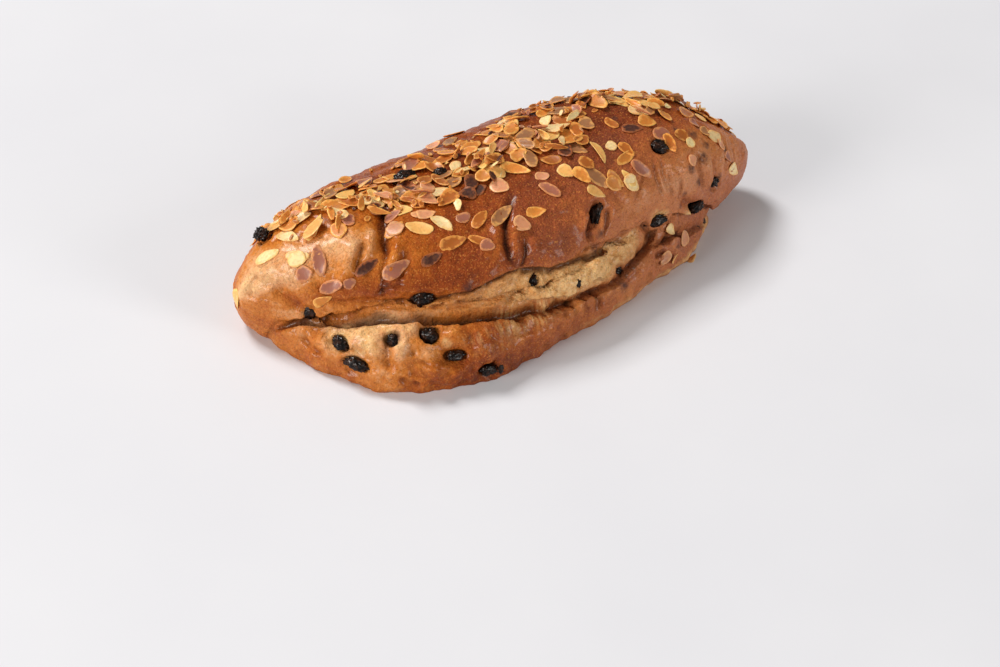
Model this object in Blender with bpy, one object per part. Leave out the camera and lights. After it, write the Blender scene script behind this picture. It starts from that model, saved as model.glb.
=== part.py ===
"""A whole stollen: one folded loaf of sweet dough, with raisins set in its crust and flaked almonds on top.

Units are metres and +Z is up. The loaf lies along X on its flat base, the folded lip faces -Y, and the
origin is at the middle of the base. The tables below are in millimetres and degrees.
"""

import math

import bmesh
import bpy
import numpy as np
from mathutils import Matrix, Vector

MM = 0.001

# The loaf's length runs between its two ends, and sections are given at these stations along it.
STATIONS = (-150, -110, -60, 0, 60, 110, 150)

# The main roll: the height of its crest, where its ridge runs, and half its width.
CREST_HEIGHT = (58, 66, 68, 73, 80, 82, 69)
RIDGE_PLACE = (19, 14, 8, 11, 20, 20, 15)
ROLL_HALF_WIDTH = (26, 46, 63, 65, 59, 54, 39)
ROLL_ENDS = (-157.5, 157.5)
ROLL_END_POWER = (7.4, 1.95)
ROLL_CENTRE_SHARE = 0.36
ROLL_POWER = 2.25

# The lip: the lower layer of dough that the roll was folded over, and that stands out in front of it.
LIP_FRONT = (-34, -70, -78, -64, -48, -35, -14)
LIP_TOP = (36, 38, 36, 37, 39, 37, 31)
LIP_HALF_WIDTH = 46
LIP_CENTRE_HEIGHT = 7
LIP_ENDS = (-147, 138.6)
FOLD_POWER = 2.2
FOLD_END_POWER = (2.6, 2.6)

# The band: the pale stretch of dough between the roll's crust and the lip.
BAND_FRONT = (-27, -45, -58, -59, -44, -30, -9)
BAND_TOP = (42, 51, 52, 49, 45, 41, 35)
BAND_HALF_WIDTH = 44
BAND_HALF_HEIGHT = 20
BAND_ENDS = (-134.4, 87)

# The line inside the loaf from which every section is drawn outwards.
CORE_PLACE = (19, 7, -3, -1, 9, 13, 15)
FARTHEST = 110
HALVINGS = 22
NEARLY_NOTHING = 1e-9
EVEN_SLOPE = 0.8
SLOPE_STEP = 1.5

# Where two layers of dough meet, a crease runs between them.
CREASE_DEPTH = 3.2
CREASE_WIDTH = 3.0

# Folds in the crust: start and end as (along, around), then width and depth.
# The angle around the core is 0 at the front, 90 at the top and 180 at the back.
CRUST_FOLDS = (
    ((-62, 92), (-92, 52), 5.0, 3.4),
    ((-14, 62), (-24, 30), 3.0, 2.4),
    ((-12, 44), (-15, 27), 3.0, 1.8),
    ((35, 50), (25, 27), 4.0, 3.6),
    ((100, 44), (104, 10), 4.0, 1.6),
    ((-116, 30), (-132, 26), 6.0, 3.0),
    ((-96, 2), (-100, -14), 5.0, 1.8),
    ((-66, 2), (-70, -12), 5.0, 1.6),
    ((100, 8), (122, 2), 3.5, 4.0),
)

# Each section's points: over the folded front up to the shoulder, over the top and back, and across the base.
RINGS = 56
FRONT_POINTS = 24
BACK_POINTS = 18
BASE_POINTS = 6
SHOULDER = 62
STEEPEST_BASE_EDGE = 75

# Raisins: place along and around, length, width, turn of the long axis, and the share of it that stands out.
RAISINS = (
    (-137.4, 116, 11, 9, -74, 0.62),
    (-128.6, 10, 11, 9, 60, 0.40),
    (-122.9, -2.3, 11, 7, -60, 0.34),
    (-119.1, -9.7, 15, 7, -20, 0.34),
    (-77.2, 20.8, 13, 9, 5, 0.34),
    (-80.5, 3.2, 11, 10, 80, 0.44),
    (-70.6, -4.1, 11, 6, -10, 0.34),
    (-54.4, -13, 11, 7, -22, 0.34),
    (-16.2, 13.5, 9, 7, 70, 0.30),
    (31.5, 35.5, 16, 8, 62, 0.36),
    (73.0, 4, 16, 9, -4, 0.40),
    (84.0, 61.5, 11, 8, -20, 0.36),
    (104.5, -4.6, 10, 8, 20, 0.40),
    (119.2, 11.5, 10, 8, -35, 0.28),
    (-55.0, 126, 13, 8, -6, 0.36),
    (-98.2, 2.6, 9, 7, -64, 0.24),
    (41.4, -10, 8, 6, -23, 0.30),
    (-37.1, 118, 8, 6, -14, 0.32),
)
RAISIN_THICKNESS_SHARE = 0.82
RAISIN_WRINKLE = 0.10
RAISIN_WRINKLES = 5
RAISIN_WRINKLE_SLANTS = (2.2, 1.4)
RAISIN_SUBDIVISIONS = 2
POCKET_GAP = 0.45

# The largest almond flakes: place along and around, length, width, turn, and how brown each is from 0 to 1.
ALMONDS = (
    (-142.1, 84, 16, 10, -16, 0.05),
    (-129.0, 97, 15, 11, -60, 0.15),
    (-115.9, 95, 18, 9, 40, 0.10),
    (-129.6, 70, 13, 9, -33, 0.10),
    (-121.0, 62, 18, 10, 80, 0.75),
    (-105.3, 84, 13, 9, 70, 0.45),
    (-119.3, 38, 14, 8, 24, 0.90),
    (-101.0, 48, 14, 8, 18, 0.70),
    (-87.5, 44, 16, 9, 13, 0.45),
    (-78.7, 76, 13, 10, 22, 0.35),
    (-66.6, 71, 15, 11, -44, 0.15),
    (-54.4, 70, 14, 10, -64, 0.15),
    (-60.2, 84, 13, 9, -15, 0.30),
    (-45.7, 101, 14, 9, -14, 0.05),
    (-54.8, 113, 14, 10, 4, 0.30),
    (-68.3, 46, 13, 9, 9, 0.95),
    (-34.6, 64, 14, 9, 31, 0.60),
    (-22.8, 61, 17, 9, 28, 0.50),
    (-4.3, 54, 12, 8, -4, 0.55),
    (9.1, 64, 14, 9, -57, 0.70),
    (-40.2, 49, 13, 8, -37, 0.85),
    (36.1, 86, 16, 11, -58, 0.60),
    (86.1, 99, 13, 10, -60, 0.10),
    (79.5, 113, 14, 11, -78, 0.15),
    (41.8, 111, 16, 11, -65, 0.20),
    (37.5, 58, 17, 11, -56, 0.40),
    (48.5, 51, 12, 9, -52, 0.35),
    (33.8, 49, 12, 8, -42, 0.35),
    (60.4, 62, 13, 8, 21, 0.25),
    (57.3, 48, 11, 8, -65, 0.25),
    (66.5, 51, 14, 9, -41, 0.80),
    (136.6, 19, 14, 10, -39, 0.30),
)
ALMOND_THICKNESS = 0.9
ALMOND_LIFT = 0.7
ALMOND_POINTS = 12
ALMOND_TIP = 0.22
SETTLING_STEPS = 12

CRUST_COLOUR = (0.42, 0.165, 0.045, 1.0)
RAISIN_COLOUR = (0.018, 0.010, 0.009, 1.0)
ALMOND_PALE = (0.74, 0.47, 0.20, 1.0)
ALMOND_BROWN = (0.30, 0.13, 0.075, 1.0)
CRUST_ROUGHNESS = 0.55
RAISIN_ROUGHNESS = 0.4
ALMOND_ROUGHNESS = 0.5


def along(x, values):
    """A smooth curve along the loaf through one value at each station."""
    stations = np.asarray(STATIONS, float)
    values = np.asarray(values, float)
    slopes = np.gradient(values, stations)
    x = np.clip(x, stations[0], stations[-1])
    i = np.clip(np.searchsorted(stations, x, side="right") - 1, 0, len(stations) - 2)
    step = stations[i + 1] - stations[i]
    t = (x - stations[i]) / step
    start = (2 * t**3 - 3 * t**2 + 1) * values[i] + (t**3 - 2 * t**2 + t) * step * slopes[i]
    finish = (3 * t**2 - 2 * t**3) * values[i + 1] + (t**3 - t**2) * step * slopes[i + 1]
    return start + finish


def towards_end(x, ends, powers):
    """0 at the middle of a layer, and 1 at either end of it."""
    share = (x - (ends[0] + ends[1]) / 2) / ((ends[1] - ends[0]) / 2)
    return np.abs(share) ** np.where(share < 0, powers[0], powers[1])


def layer(y, z, centre_y, centre_z, half_width, half_height, power, taper):
    """About how far a point lies outside one rounded layer of dough, in millimetres."""
    across = (np.abs(y - centre_y) / half_width) ** power
    up = (np.abs(z - centre_z) / half_height) ** power
    full = np.sign(1 - taper) * np.abs(1 - taper) ** (1 / power)
    return ((across + up) ** (1 / power) - full) * EVEN_SLOPE * np.minimum(half_width, half_height)


def layers(x, y, z):
    """The same distance for the roll, the lip and the band."""
    crest = along(x, CREST_HEIGHT)
    roll = layer(
        y,
        z,
        along(x, RIDGE_PLACE),
        ROLL_CENTRE_SHARE * crest,
        along(x, ROLL_HALF_WIDTH),
        (1 - ROLL_CENTRE_SHARE) * crest,
        ROLL_POWER,
        towards_end(x, ROLL_ENDS, ROLL_END_POWER),
    )
    lip = layer(
        y,
        z,
        along(x, LIP_FRONT) + LIP_HALF_WIDTH,
        LIP_CENTRE_HEIGHT,
        LIP_HALF_WIDTH,
        along(x, LIP_TOP) - LIP_CENTRE_HEIGHT,
        FOLD_POWER,
        towards_end(x, LIP_ENDS, FOLD_END_POWER),
    )
    band = layer(
        y,
        z,
        along(x, BAND_FRONT) + BAND_HALF_WIDTH,
        along(x, BAND_TOP) - BAND_HALF_HEIGHT,
        BAND_HALF_WIDTH,
        BAND_HALF_HEIGHT,
        FOLD_POWER,
        towards_end(x, BAND_ENDS, FOLD_END_POWER),
    )
    return np.sort(np.stack(np.broadcast_arrays(roll, lip, band)), axis=0)


def core(x):
    """The middle of the section at x, as (y, z)."""
    return along(x, CORE_PLACE), ROLL_CENTRE_SHARE * along(x, CREST_HEIGHT)


def dough(x, y, z, folds=()):
    """Above 0 outside the loaf and below 0 inside it."""
    nearest, second, _ = layers(x, y, z)
    field = nearest + CREASE_DEPTH * np.exp(-((second / CREASE_WIDTH) ** 2))
    for start, end, width, depth in folds:
        run = end - start
        share = ((x - start[0]) * run[0] + (y - start[1]) * run[1] + (z - start[2]) * run[2]) / (run @ run)
        share = np.clip(share, 0, 1)
        off = (
            (x - start[0] - share * run[0]) ** 2
            + (y - start[1] - share * run[1]) ** 2
            + (z - start[2] - share * run[2]) ** 2
        )
        field = field + depth * np.exp(-off / width**2)
    return field


def surface(x, angle, folds=()):
    """The points of the crust at these places along and around, by halving the span that holds each."""
    y0, z0 = core(x)
    out_y, out_z = -np.cos(angle), np.sin(angle)
    inner = np.zeros(np.broadcast(x, angle).shape)
    outer = inner + FARTHEST
    for _ in range(HALVINGS):
        middle = (inner + outer) / 2
        outside = dough(x, y0 + middle * out_y, z0 + middle * out_z, folds) > 0
        outer = np.where(outside, middle, outer)
        inner = np.where(outside, inner, middle)
    reach = np.minimum(inner, z0 / np.maximum(-out_z, NEARLY_NOTHING))
    return np.stack(np.broadcast_arrays(x, y0 + reach * out_y, z0 + reach * out_z), axis=-1)


def spot(along_loaf, around_loaf, folds=()):
    """One point of the crust and its outward normal."""
    x, angle = float(along_loaf), math.radians(around_loaf)
    point = surface(x, angle, folds)
    steps = SLOPE_STEP * np.eye(3)
    slope = [dough(*(point + step), folds) - dough(*(point - step), folds) for step in steps]
    normal = np.array(slope, float)
    return point, normal / np.linalg.norm(normal)


FOLDS = tuple(
    (spot(*start)[0], spot(*end)[0], width, depth) for start, end, width, depth in CRUST_FOLDS
)


def material(name, colour, roughness):
    """A plain dielectric finish."""
    made = bpy.data.materials.new(name)
    made.use_nodes = True
    shader = made.node_tree.nodes["Principled BSDF"]
    shader.inputs["Base Color"].default_value = colour
    shader.inputs["Roughness"].default_value = roughness
    shader.inputs["Metallic"].default_value = 0.0
    made.diffuse_color = colour
    return made


def new_object(name, mesh, finish=None):
    """One named sub-part, held by the empty that stands at the loaf's origin."""
    made = bpy.data.objects.new(name, mesh)
    bpy.context.scene.collection.objects.link(made)
    made.parent = STAND
    if finish is not None:
        mesh.materials.append(finish)
        mesh.shade_smooth()
    return made


def base_edge(x, side):
    """The angle around the core where the crust meets the ground, in front (side -1) or behind (side 1)."""
    y0, z0 = core(x)
    inner = np.zeros_like(x)
    outer = inner + FARTHEST
    for _ in range(HALVINGS):
        middle = (inner + outer) / 2
        outside = dough(x, y0 + side * middle, np.zeros_like(x), FOLDS) > 0
        outer = np.where(outside, middle, outer)
        inner = np.where(outside, inner, middle)
    return np.minimum(np.arctan2(z0, inner), math.radians(STEEPEST_BASE_EDGE))


def ring_angles(x):
    """Angles around the core, closer together over the folded front, with a corner where the base begins."""
    front = -base_edge(x, -1)
    back = math.pi + base_edge(x, 1)
    shoulder = np.full_like(x, math.radians(SHOULDER))
    spans = (
        (front, shoulder, FRONT_POINTS),
        (shoulder, back, BACK_POINTS),
        (back, front + 2 * math.pi, BASE_POINTS),
    )
    return np.concatenate([np.linspace(a, b, n, endpoint=False, axis=1) for a, b, n in spans], axis=1)


def loaf_mesh():
    """Rings along the whole loaf, closer together towards its ends, and closed by a fan at each end."""
    share = np.arange(1, RINGS + 1) / (RINGS + 1)
    x = ROLL_ENDS[0] + (ROLL_ENDS[1] - ROLL_ENDS[0]) * (1 - np.cos(math.pi * share)) / 2
    rings = surface(x[:, None], ring_angles(x), FOLDS)
    points = rings.shape[1]
    shape = bmesh.new()
    verts = [[shape.verts.new(Vector(p) * MM) for p in ring] for ring in rings]
    for near, far in zip(verts, verts[1:]):
        for i in range(points):
            j = (i + 1) % points
            shape.faces.new((near[i], far[i], far[j], near[j]))
    for end, ring in zip(ROLL_ENDS, (verts[0], verts[-1])):
        y, z = core(float(end))
        tip = shape.verts.new(Vector((end, y, z)) * MM)
        for i in range(points):
            shape.faces.new((tip, ring[i], ring[(i + 1) % points]))
    bmesh.ops.recalc_face_normals(shape, faces=shape.faces)
    mesh = bpy.data.meshes.new("loaf")
    shape.to_mesh(mesh)
    shape.free()
    return mesh


def lying_on_crust(point, normal, turn):
    """The axes of something that lies on the crust: its long axis is turned from the loaf's length."""
    up = Vector(normal)
    length = (Vector((1, 0, 0)) - up * up.x).normalized()
    length = Matrix.Rotation(math.radians(turn), 3, up) @ length
    width = up.cross(length)
    axes = Matrix((length, width, up)).transposed().to_4x4()
    return Matrix.Translation(Vector(point) * MM) @ axes


def raisin_mesh(name, half_sizes, wrinkle):
    """A dried grape: a ball with sunken wrinkles, flattened to its three half sizes."""
    first_slant, second_slant = RAISIN_WRINKLE_SLANTS
    shape = bmesh.new()
    bmesh.ops.create_icosphere(shape, subdivisions=RAISIN_SUBDIVISIONS, radius=1.0)
    for vert in shape.verts:
        x, y, z = vert.co
        fold = math.sin(RAISIN_WRINKLES * y + first_slant * x)
        fold *= math.sin(RAISIN_WRINKLES * z - second_slant * x)
        vert.co *= 1 - wrinkle * (1 + fold) / 2
        vert.co = Vector(c * size * MM for c, size in zip(vert.co, half_sizes))
    mesh = bpy.data.meshes.new(name)
    shape.to_mesh(mesh)
    shape.free()
    return mesh


def add_raisins(finish):
    """Raisins sunk in the dough, and the cutter that makes the pocket round each of them."""
    pockets = []
    for number, (place, around, length, width, turn, proud) in enumerate(RAISINS, 1):
        point, normal = spot(place, around, FOLDS)
        thickness = width * RAISIN_THICKNESS_SHARE
        lie = lying_on_crust(point - normal * thickness * (0.5 - proud), normal, turn)
        half = (length / 2, width / 2, thickness / 2)
        raisin = new_object(f"raisin_{number:02d}", raisin_mesh("raisin", half, RAISIN_WRINKLE), finish)
        raisin.matrix_local = lie
        room = raisin_mesh("pocket", [size + POCKET_GAP for size in half], 0.0)
        room.transform(lie)
        pockets.append(room)
    shape = bmesh.new()
    for room in pockets:
        shape.from_mesh(room)
        bpy.data.meshes.remove(room)
    mesh = bpy.data.meshes.new("pockets")
    shape.to_mesh(mesh)
    shape.free()
    cutter = new_object("pockets", mesh)
    cutter.hide_render = True
    cutter.display_type = "WIRE"
    return cutter


def on_crust(point, normal):
    """The crust below a point, found by stepping down along the normal. A flake bridges the folds."""
    for _ in range(SETTLING_STEPS):
        point = point - normal * dough(*point)
    return point


def almond_mesh(name, lie, length, width):
    """A flake cut across an almond: an egg-shaped plate, pointed at one end, that follows the crust."""
    normal = np.array(lie.col[2][:3])
    rim = []
    for i in range(ALMOND_POINTS):
        angle = 2 * math.pi * i / ALMOND_POINTS
        narrow = 1 - ALMOND_TIP * (1 + math.cos(angle))
        flat = Vector((length / 2 * math.cos(angle), width / 2 * math.sin(angle) * narrow, 0)) * MM
        rim.append(on_crust(np.array(lie @ flat) / MM, normal))
    middle = on_crust(np.array(lie.translation) / MM, normal)
    shape = bmesh.new()
    sides = []
    for height in (ALMOND_LIFT, ALMOND_LIFT + ALMOND_THICKNESS):
        hub = shape.verts.new(Vector(middle + normal * height) * MM)
        edge = [shape.verts.new(Vector(p + normal * height) * MM) for p in rim]
        for i in range(ALMOND_POINTS):
            shape.faces.new((hub, edge[i], edge[(i + 1) % ALMOND_POINTS]))
        sides.append(edge)
    for i in range(ALMOND_POINTS):
        j = (i + 1) % ALMOND_POINTS
        shape.faces.new((sides[0][i], sides[0][j], sides[1][j], sides[1][i]))
    bmesh.ops.recalc_face_normals(shape, faces=shape.faces)
    mesh = bpy.data.meshes.new(name)
    shape.to_mesh(mesh)
    shape.free()
    return mesh


def add_almonds():
    """The largest flakes, each its own piece lying on the crust."""
    for number, (place, around, length, width, turn, brown) in enumerate(ALMONDS, 1):
        point, normal = spot(place, around)
        lie = lying_on_crust(point, normal, turn)
        colour = [p + (b - p) * brown for p, b in zip(ALMOND_PALE, ALMOND_BROWN)]
        finish = material(f"almond_{number:02d}", colour, ALMOND_ROUGHNESS)
        new_object(f"almond_{number:02d}", almond_mesh("almond", lie, length, width), finish)


for old in list(bpy.data.objects):
    bpy.data.objects.remove(old)

STAND = bpy.data.objects.new("stollen", None)
bpy.context.scene.collection.objects.link(STAND)

loaf = new_object("loaf", loaf_mesh(), material("crust", CRUST_COLOUR, CRUST_ROUGHNESS))
cut = loaf.modifiers.new("raisin pockets", "BOOLEAN")
cut.operation = "DIFFERENCE"
cut.solver = "EXACT"
cut.object = add_raisins(material("raisin", RAISIN_COLOUR, RAISIN_ROUGHNESS))
add_almonds()
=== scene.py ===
"""The looks of a whole stollen: a folded loaf of sweet dough, raisins in its crust and flaked almonds on top.

Lengths in the tables are millimetres and angles are degrees, unless a comment says otherwise. The angle
around the loaf is 0 at the front, where the folded lip is, 90 at the top and 180 at the back.
"""

import math
import random

import bmesh
import bpy
import numpy as np
from mathutils import Matrix, Vector, noise
from mathutils.bvhtree import BVHTree


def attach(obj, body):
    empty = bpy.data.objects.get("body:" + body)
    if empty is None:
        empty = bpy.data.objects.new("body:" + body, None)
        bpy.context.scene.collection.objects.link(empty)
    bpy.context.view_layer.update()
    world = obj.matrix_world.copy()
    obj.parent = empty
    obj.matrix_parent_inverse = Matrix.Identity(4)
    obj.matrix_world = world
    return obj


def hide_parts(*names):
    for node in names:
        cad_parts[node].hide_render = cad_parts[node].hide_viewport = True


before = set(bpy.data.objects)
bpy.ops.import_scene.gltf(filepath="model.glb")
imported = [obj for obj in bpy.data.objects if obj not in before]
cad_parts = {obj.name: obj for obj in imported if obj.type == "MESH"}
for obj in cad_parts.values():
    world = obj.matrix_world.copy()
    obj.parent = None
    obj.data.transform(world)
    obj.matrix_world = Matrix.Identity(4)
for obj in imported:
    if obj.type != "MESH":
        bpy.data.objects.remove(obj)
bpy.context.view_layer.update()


# The photograph's viewpoint: it looks down on the loaf from the front left.
# It comes first, because what shows in the photograph is laid on the dough along its lines of sight.
MM = 0.001
PHOTO_SIZE = (1000, 667)
VIEWPOINT = (-570.6, -1010.8, 930.2)
VIEW_AZIMUTH = -29.18
VIEW_ELEVATION = 40.016
VIEW_ROLL = 2.603
FOCAL_PIXELS = 2671.0
SENSOR_WIDTH = 36.0


def view_axes():
    """The photograph's right, up and inward directions."""
    azimuth, elevation, roll = (math.radians(a) for a in (VIEW_AZIMUTH, VIEW_ELEVATION, VIEW_ROLL))
    inward = -Vector((math.sin(azimuth) * math.cos(elevation), -math.cos(azimuth) * math.cos(elevation),
                      math.sin(elevation)))
    level = inward.cross(Vector((0, 0, 1))).normalized()
    upright = level.cross(inward)
    right = math.cos(roll) * level + math.sin(roll) * upright
    up = math.cos(roll) * upright - math.sin(roll) * level
    return right, up, inward


RIGHT, UP, INWARD = view_axes()
camera = bpy.data.objects.new("camera", bpy.data.cameras.new("camera"))
facing = Matrix((RIGHT, UP, -INWARD)).transposed().to_4x4()
camera.matrix_world = Matrix.Translation(Vector(VIEWPOINT) * MM) @ facing
camera.data.sensor_width = SENSOR_WIDTH
camera.data.lens = SENSOR_WIDTH * FOCAL_PIXELS / PHOTO_SIZE[0]
bpy.context.scene.collection.objects.link(camera)
bpy.context.scene.camera = camera


def line_of_sight(across, down):
    """The direction from the viewpoint through one pixel of the photograph."""
    right = (across - PHOTO_SIZE[0] / 2) / FOCAL_PIXELS
    up = (PHOTO_SIZE[1] / 2 - down) / FOCAL_PIXELS
    return (INWARD + RIGHT * right + UP * up).normalized()


# The dough: one batch of sweet yeast dough, rolled out, folded over so that its lower layer stands out as a
# lip, and baked. A paler band shows where the fold opened in the oven. Its form is three rounded layers, the
# roll, the band and the lip, whose sizes are given at these places along the loaf.
STATIONS = (-150, -110, -60, 0, 60, 110, 150)
CREST_HEIGHT = (58, 66, 68, 73, 80, 82, 69)
RIDGE_PLACE = (19, 14, 8, 11, 20, 20, 15)
ROLL_HALF_WIDTH = (26, 46, 63, 65, 59, 54, 39)
ROLL_ENDS = (-157.5, 157.5)
ROLL_END_POWER = (7.4, 1.95)
ROLL_CENTRE_SHARE = 0.36
ROLL_POWER = 2.25
LIP_FRONT = (-34, -70, -78, -64, -48, -35, -14)
LIP_TOP = (36, 38, 36, 37, 39, 37, 31)
LIP_HALF_WIDTH = 46
LIP_CENTRE_HEIGHT = 7
LIP_ENDS = (-147, 138.6)
BAND_FRONT = (-27, -45, -58, -59, -44, -30, -9)
BAND_TOP = (42, 51, 52, 49, 45, 41, 35)
BAND_HALF_WIDTH = 44
BAND_HALF_HEIGHT = 20
BAND_ENDS = (-134.4, 87)
FOLD_POWER = 2.2
FOLD_END_POWER = (2.6, 2.6)
CORE_PLACE = (19, 7, -3, -1, 9, 13, 15)
FARTHEST = 110
HALVINGS = 18
EVEN_SLOPE = 0.8
NEARLY_NOTHING = 1e-9

# How deep and how wide the creases are: under the roll's crust, over the lip, and past the band's ends.
TOP_CREASE = (1.0, 1.2, 1.4, 1.4, 1.4, 1.4, 1.4)
TOP_CREASE_WIDTH = 1.2
LOW_CREASE = (6.0, 7.0, 5.6, 3.8, 3.6, 4.0, 3.6)
LOW_CREASE_WIDTH = (1.8, 1.8, 1.3, 1.0, 1.0, 1.0, 1.0)
END_CREASE = (0.3, 2.0, 5.0, 5.0, 5.0, 5.0, 5.0)
END_CREASE_WIDTH = 2.0
BAND_REACH = 4.0
FOOT_REACH = 14.0

# Rings along the loaf, and points over its front, over its back and across its base.
RINGS = 430
FRONT_POINTS = 128
BACK_POINTS = 74
BASE_POINTS = 10
SHOULDER = 62
SIDE_POINTS = FRONT_POINTS + BACK_POINTS
TRACED_PER_POINT = 3


def along(x, values):
    """A smooth curve along the loaf through one value at each station."""
    stations = np.asarray(STATIONS, float)
    values = np.asarray(values, float)
    slopes = np.gradient(values, stations)
    x = np.clip(x, stations[0], stations[-1])
    i = np.clip(np.searchsorted(stations, x, side="right") - 1, 0, len(stations) - 2)
    step = stations[i + 1] - stations[i]
    t = (x - stations[i]) / step
    start = (2 * t**3 - 3 * t**2 + 1) * values[i] + (t**3 - 2 * t**2 + t) * step * slopes[i]
    finish = (3 * t**2 - 2 * t**3) * values[i + 1] + (t**3 - t**2) * step * slopes[i + 1]
    return start + finish


def towards_end(x, ends, powers):
    """0 at the middle of a layer, and 1 at either end of it."""
    share = (x - (ends[0] + ends[1]) / 2) / ((ends[1] - ends[0]) / 2)
    return np.abs(share) ** np.where(share < 0, powers[0], powers[1])


def layer(y, z, centre_y, centre_z, half_width, half_height, power, taper):
    """About how far a point lies outside one rounded layer of dough."""
    reach = (np.abs(y - centre_y) / half_width) ** power + (np.abs(z - centre_z) / half_height) ** power
    full = np.sign(1 - taper) * np.abs(1 - taper) ** (1 / power)
    return (reach ** (1 / power) - full) * EVEN_SLOPE * np.minimum(half_width, half_height)


def layers(x, y, z):
    """How far a point lies outside the roll, the band and the lip."""
    crest = along(x, CREST_HEIGHT)
    roll = layer(y, z, along(x, RIDGE_PLACE), ROLL_CENTRE_SHARE * crest, along(x, ROLL_HALF_WIDTH),
                 (1 - ROLL_CENTRE_SHARE) * crest, ROLL_POWER, towards_end(x, ROLL_ENDS, ROLL_END_POWER))
    band = layer(y, z, along(x, BAND_FRONT) + BAND_HALF_WIDTH, along(x, BAND_TOP) - BAND_HALF_HEIGHT,
                 BAND_HALF_WIDTH, BAND_HALF_HEIGHT, FOLD_POWER, towards_end(x, BAND_ENDS, FOLD_END_POWER))
    lip = layer(y, z, along(x, LIP_FRONT) + LIP_HALF_WIDTH, LIP_CENTRE_HEIGHT, LIP_HALF_WIDTH,
                along(x, LIP_TOP) - LIP_CENTRE_HEIGHT, FOLD_POWER, towards_end(x, LIP_ENDS, FOLD_END_POWER))
    return roll, band, lip


def smooth_form(points, swell=(0, 0, 0)):
    """Above 0 outside the three layers and below 0 inside them."""
    return np.minimum.reduce([part - more for part, more in zip(layers(*np.moveaxis(points, -1, 0)), swell)])


def groove(inner, outer, width):
    """1 in the crease between two layers and 0 away from it."""
    return np.exp(-((np.maximum(inner, outer) / width) ** 2))


def creased_form(points, swell):
    """The same with the creases between the layers, each of which may swell by its own amount."""
    x = points[..., 0]
    roll, band, lip = (part - more for part, more in zip(layers(*np.moveaxis(points, -1, 0)), swell))
    return (np.minimum(roll, np.minimum(band, lip))
            + along(x, TOP_CREASE) * groove(roll, band, TOP_CREASE_WIDTH)
            + along(x, LOW_CREASE) * groove(band, lip, along(x, LOW_CREASE_WIDTH))
            + along(x, END_CREASE) * groove(roll, lip, END_CREASE_WIDTH) * np.clip(band / BAND_REACH, 0, 1)
            * np.clip(points[..., 2] / FOOT_REACH, 0, 1) * (points[..., 1] < along(x, CORE_PLACE)))


def core(x):
    """The middle of the section at x, as (y, z)."""
    return along(x, CORE_PLACE), ROLL_CENTRE_SHARE * along(x, CREST_HEIGHT)


def settle(starts, ways, nearest, farthest, form, halvings):
    """Where each line leaves the dough, by halving the span that holds that place."""
    inner = np.full(starts.shape[:-1], float(nearest))
    outer = np.full(starts.shape[:-1], float(farthest))
    for _ in range(halvings):
        middle = (inner + outer) / 2
        out = form(starts + ways * middle[..., None]) > 0
        outer = np.where(out, middle, outer)
        inner = np.where(out, inner, middle)
    return starts + ways * inner[..., None]


def from_core(x, angle):
    """Points of the smooth form at these places along and around, no lower than the base."""
    x, angle = np.broadcast_arrays(x, angle)
    starts = np.stack([x, *core(x)], axis=-1)
    ways = np.stack([np.zeros_like(x), -np.cos(angle), np.sin(angle)], axis=-1)
    points = settle(starts, ways, 0, FARTHEST, smooth_form, HALVINGS)
    below = np.clip(starts[..., 2] / np.maximum(starts[..., 2] - points[..., 2], NEARLY_NOTHING), 0, 1)
    return starts + (points - starts) * below[..., None]


def base_edges(x):
    """Where the sides meet the base, in front of and behind the core."""
    y0, _ = core(x)
    starts = np.stack([x, y0, np.zeros_like(x)], axis=-1)
    ways = [np.array([0.0, side, 0.0]) for side in (-1, 1)]
    return [settle(starts, way, 0, FARTHEST, smooth_form, HALVINGS) for way in ways]


def even_rings(x):
    """Rings round the smooth form, their points evenly spaced and closer together over the front."""
    front, back = base_edges(x)
    y0, z0 = core(x)
    first = -np.arctan2(z0, y0 - front[:, 1])
    last = math.pi + np.arctan2(z0, back[:, 1] - y0)
    share = np.linspace(0, 1, TRACED_PER_POINT * SIDE_POINTS)
    angle = first[:, None] + (last - first)[:, None] * share
    traced = from_core(x[:, None], angle)
    step = np.linalg.norm(np.diff(traced, axis=1), axis=2)
    over_front = angle[:, 1:] < math.radians(SHOULDER)
    rings = []
    for ring, lengths, front_part in zip(traced, step, over_front):
        shares = [np.where(part, lengths, 0) for part in (front_part, ~front_part)]
        run = sum(count * part / part.sum() for count, part in zip((FRONT_POINTS, BACK_POINTS), shares))
        run = np.concatenate([[0], np.cumsum(run)])
        wanted = np.arange(SIDE_POINTS)
        side = np.stack([np.interp(wanted, run, ring[:, i]) for i in range(3)], axis=1)
        base = side[-1] + (side[0] - side[-1]) * (np.arange(BASE_POINTS) / BASE_POINTS)[:, None]
        rings.append(np.concatenate([side, base]))
    return np.array(rings)


ring_share = np.arange(1, RINGS + 1) / (RINGS + 1)
ring_x = ROLL_ENDS[0] + (ROLL_ENDS[1] - ROLL_ENDS[0]) * (1 - np.cos(math.pi * ring_share)) / 2
smooth_dough = even_rings(ring_x)


def ring_faces(rings, points):
    """The four-cornered faces between neighbouring rings."""
    near = np.arange(rings - 1)[:, None] * points
    i = np.arange(points)[None, :]
    j = (i + 1) % points
    return np.stack([near + i, near + points + i, near + points + j, near + j], axis=-1).reshape(-1, 4)


def sheet_tree(rings):
    """The loaf's sides as something that lines can be laid on, in millimetres."""
    count, points = rings.shape[:2]
    return BVHTree.FromPolygons(rings.reshape(-1, 3).tolist(), ring_faces(count, points).tolist())


def seen(tree, across, down):
    """The point of the dough, and its outward normal, that shows at one pixel of the photograph."""
    point, normal, _, _ = tree.ray_cast(Vector(VIEWPOINT), line_of_sight(across, down))
    if point is None:
        return None, None
    return point, normal if normal.dot(INWARD) < 0 else -normal


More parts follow.
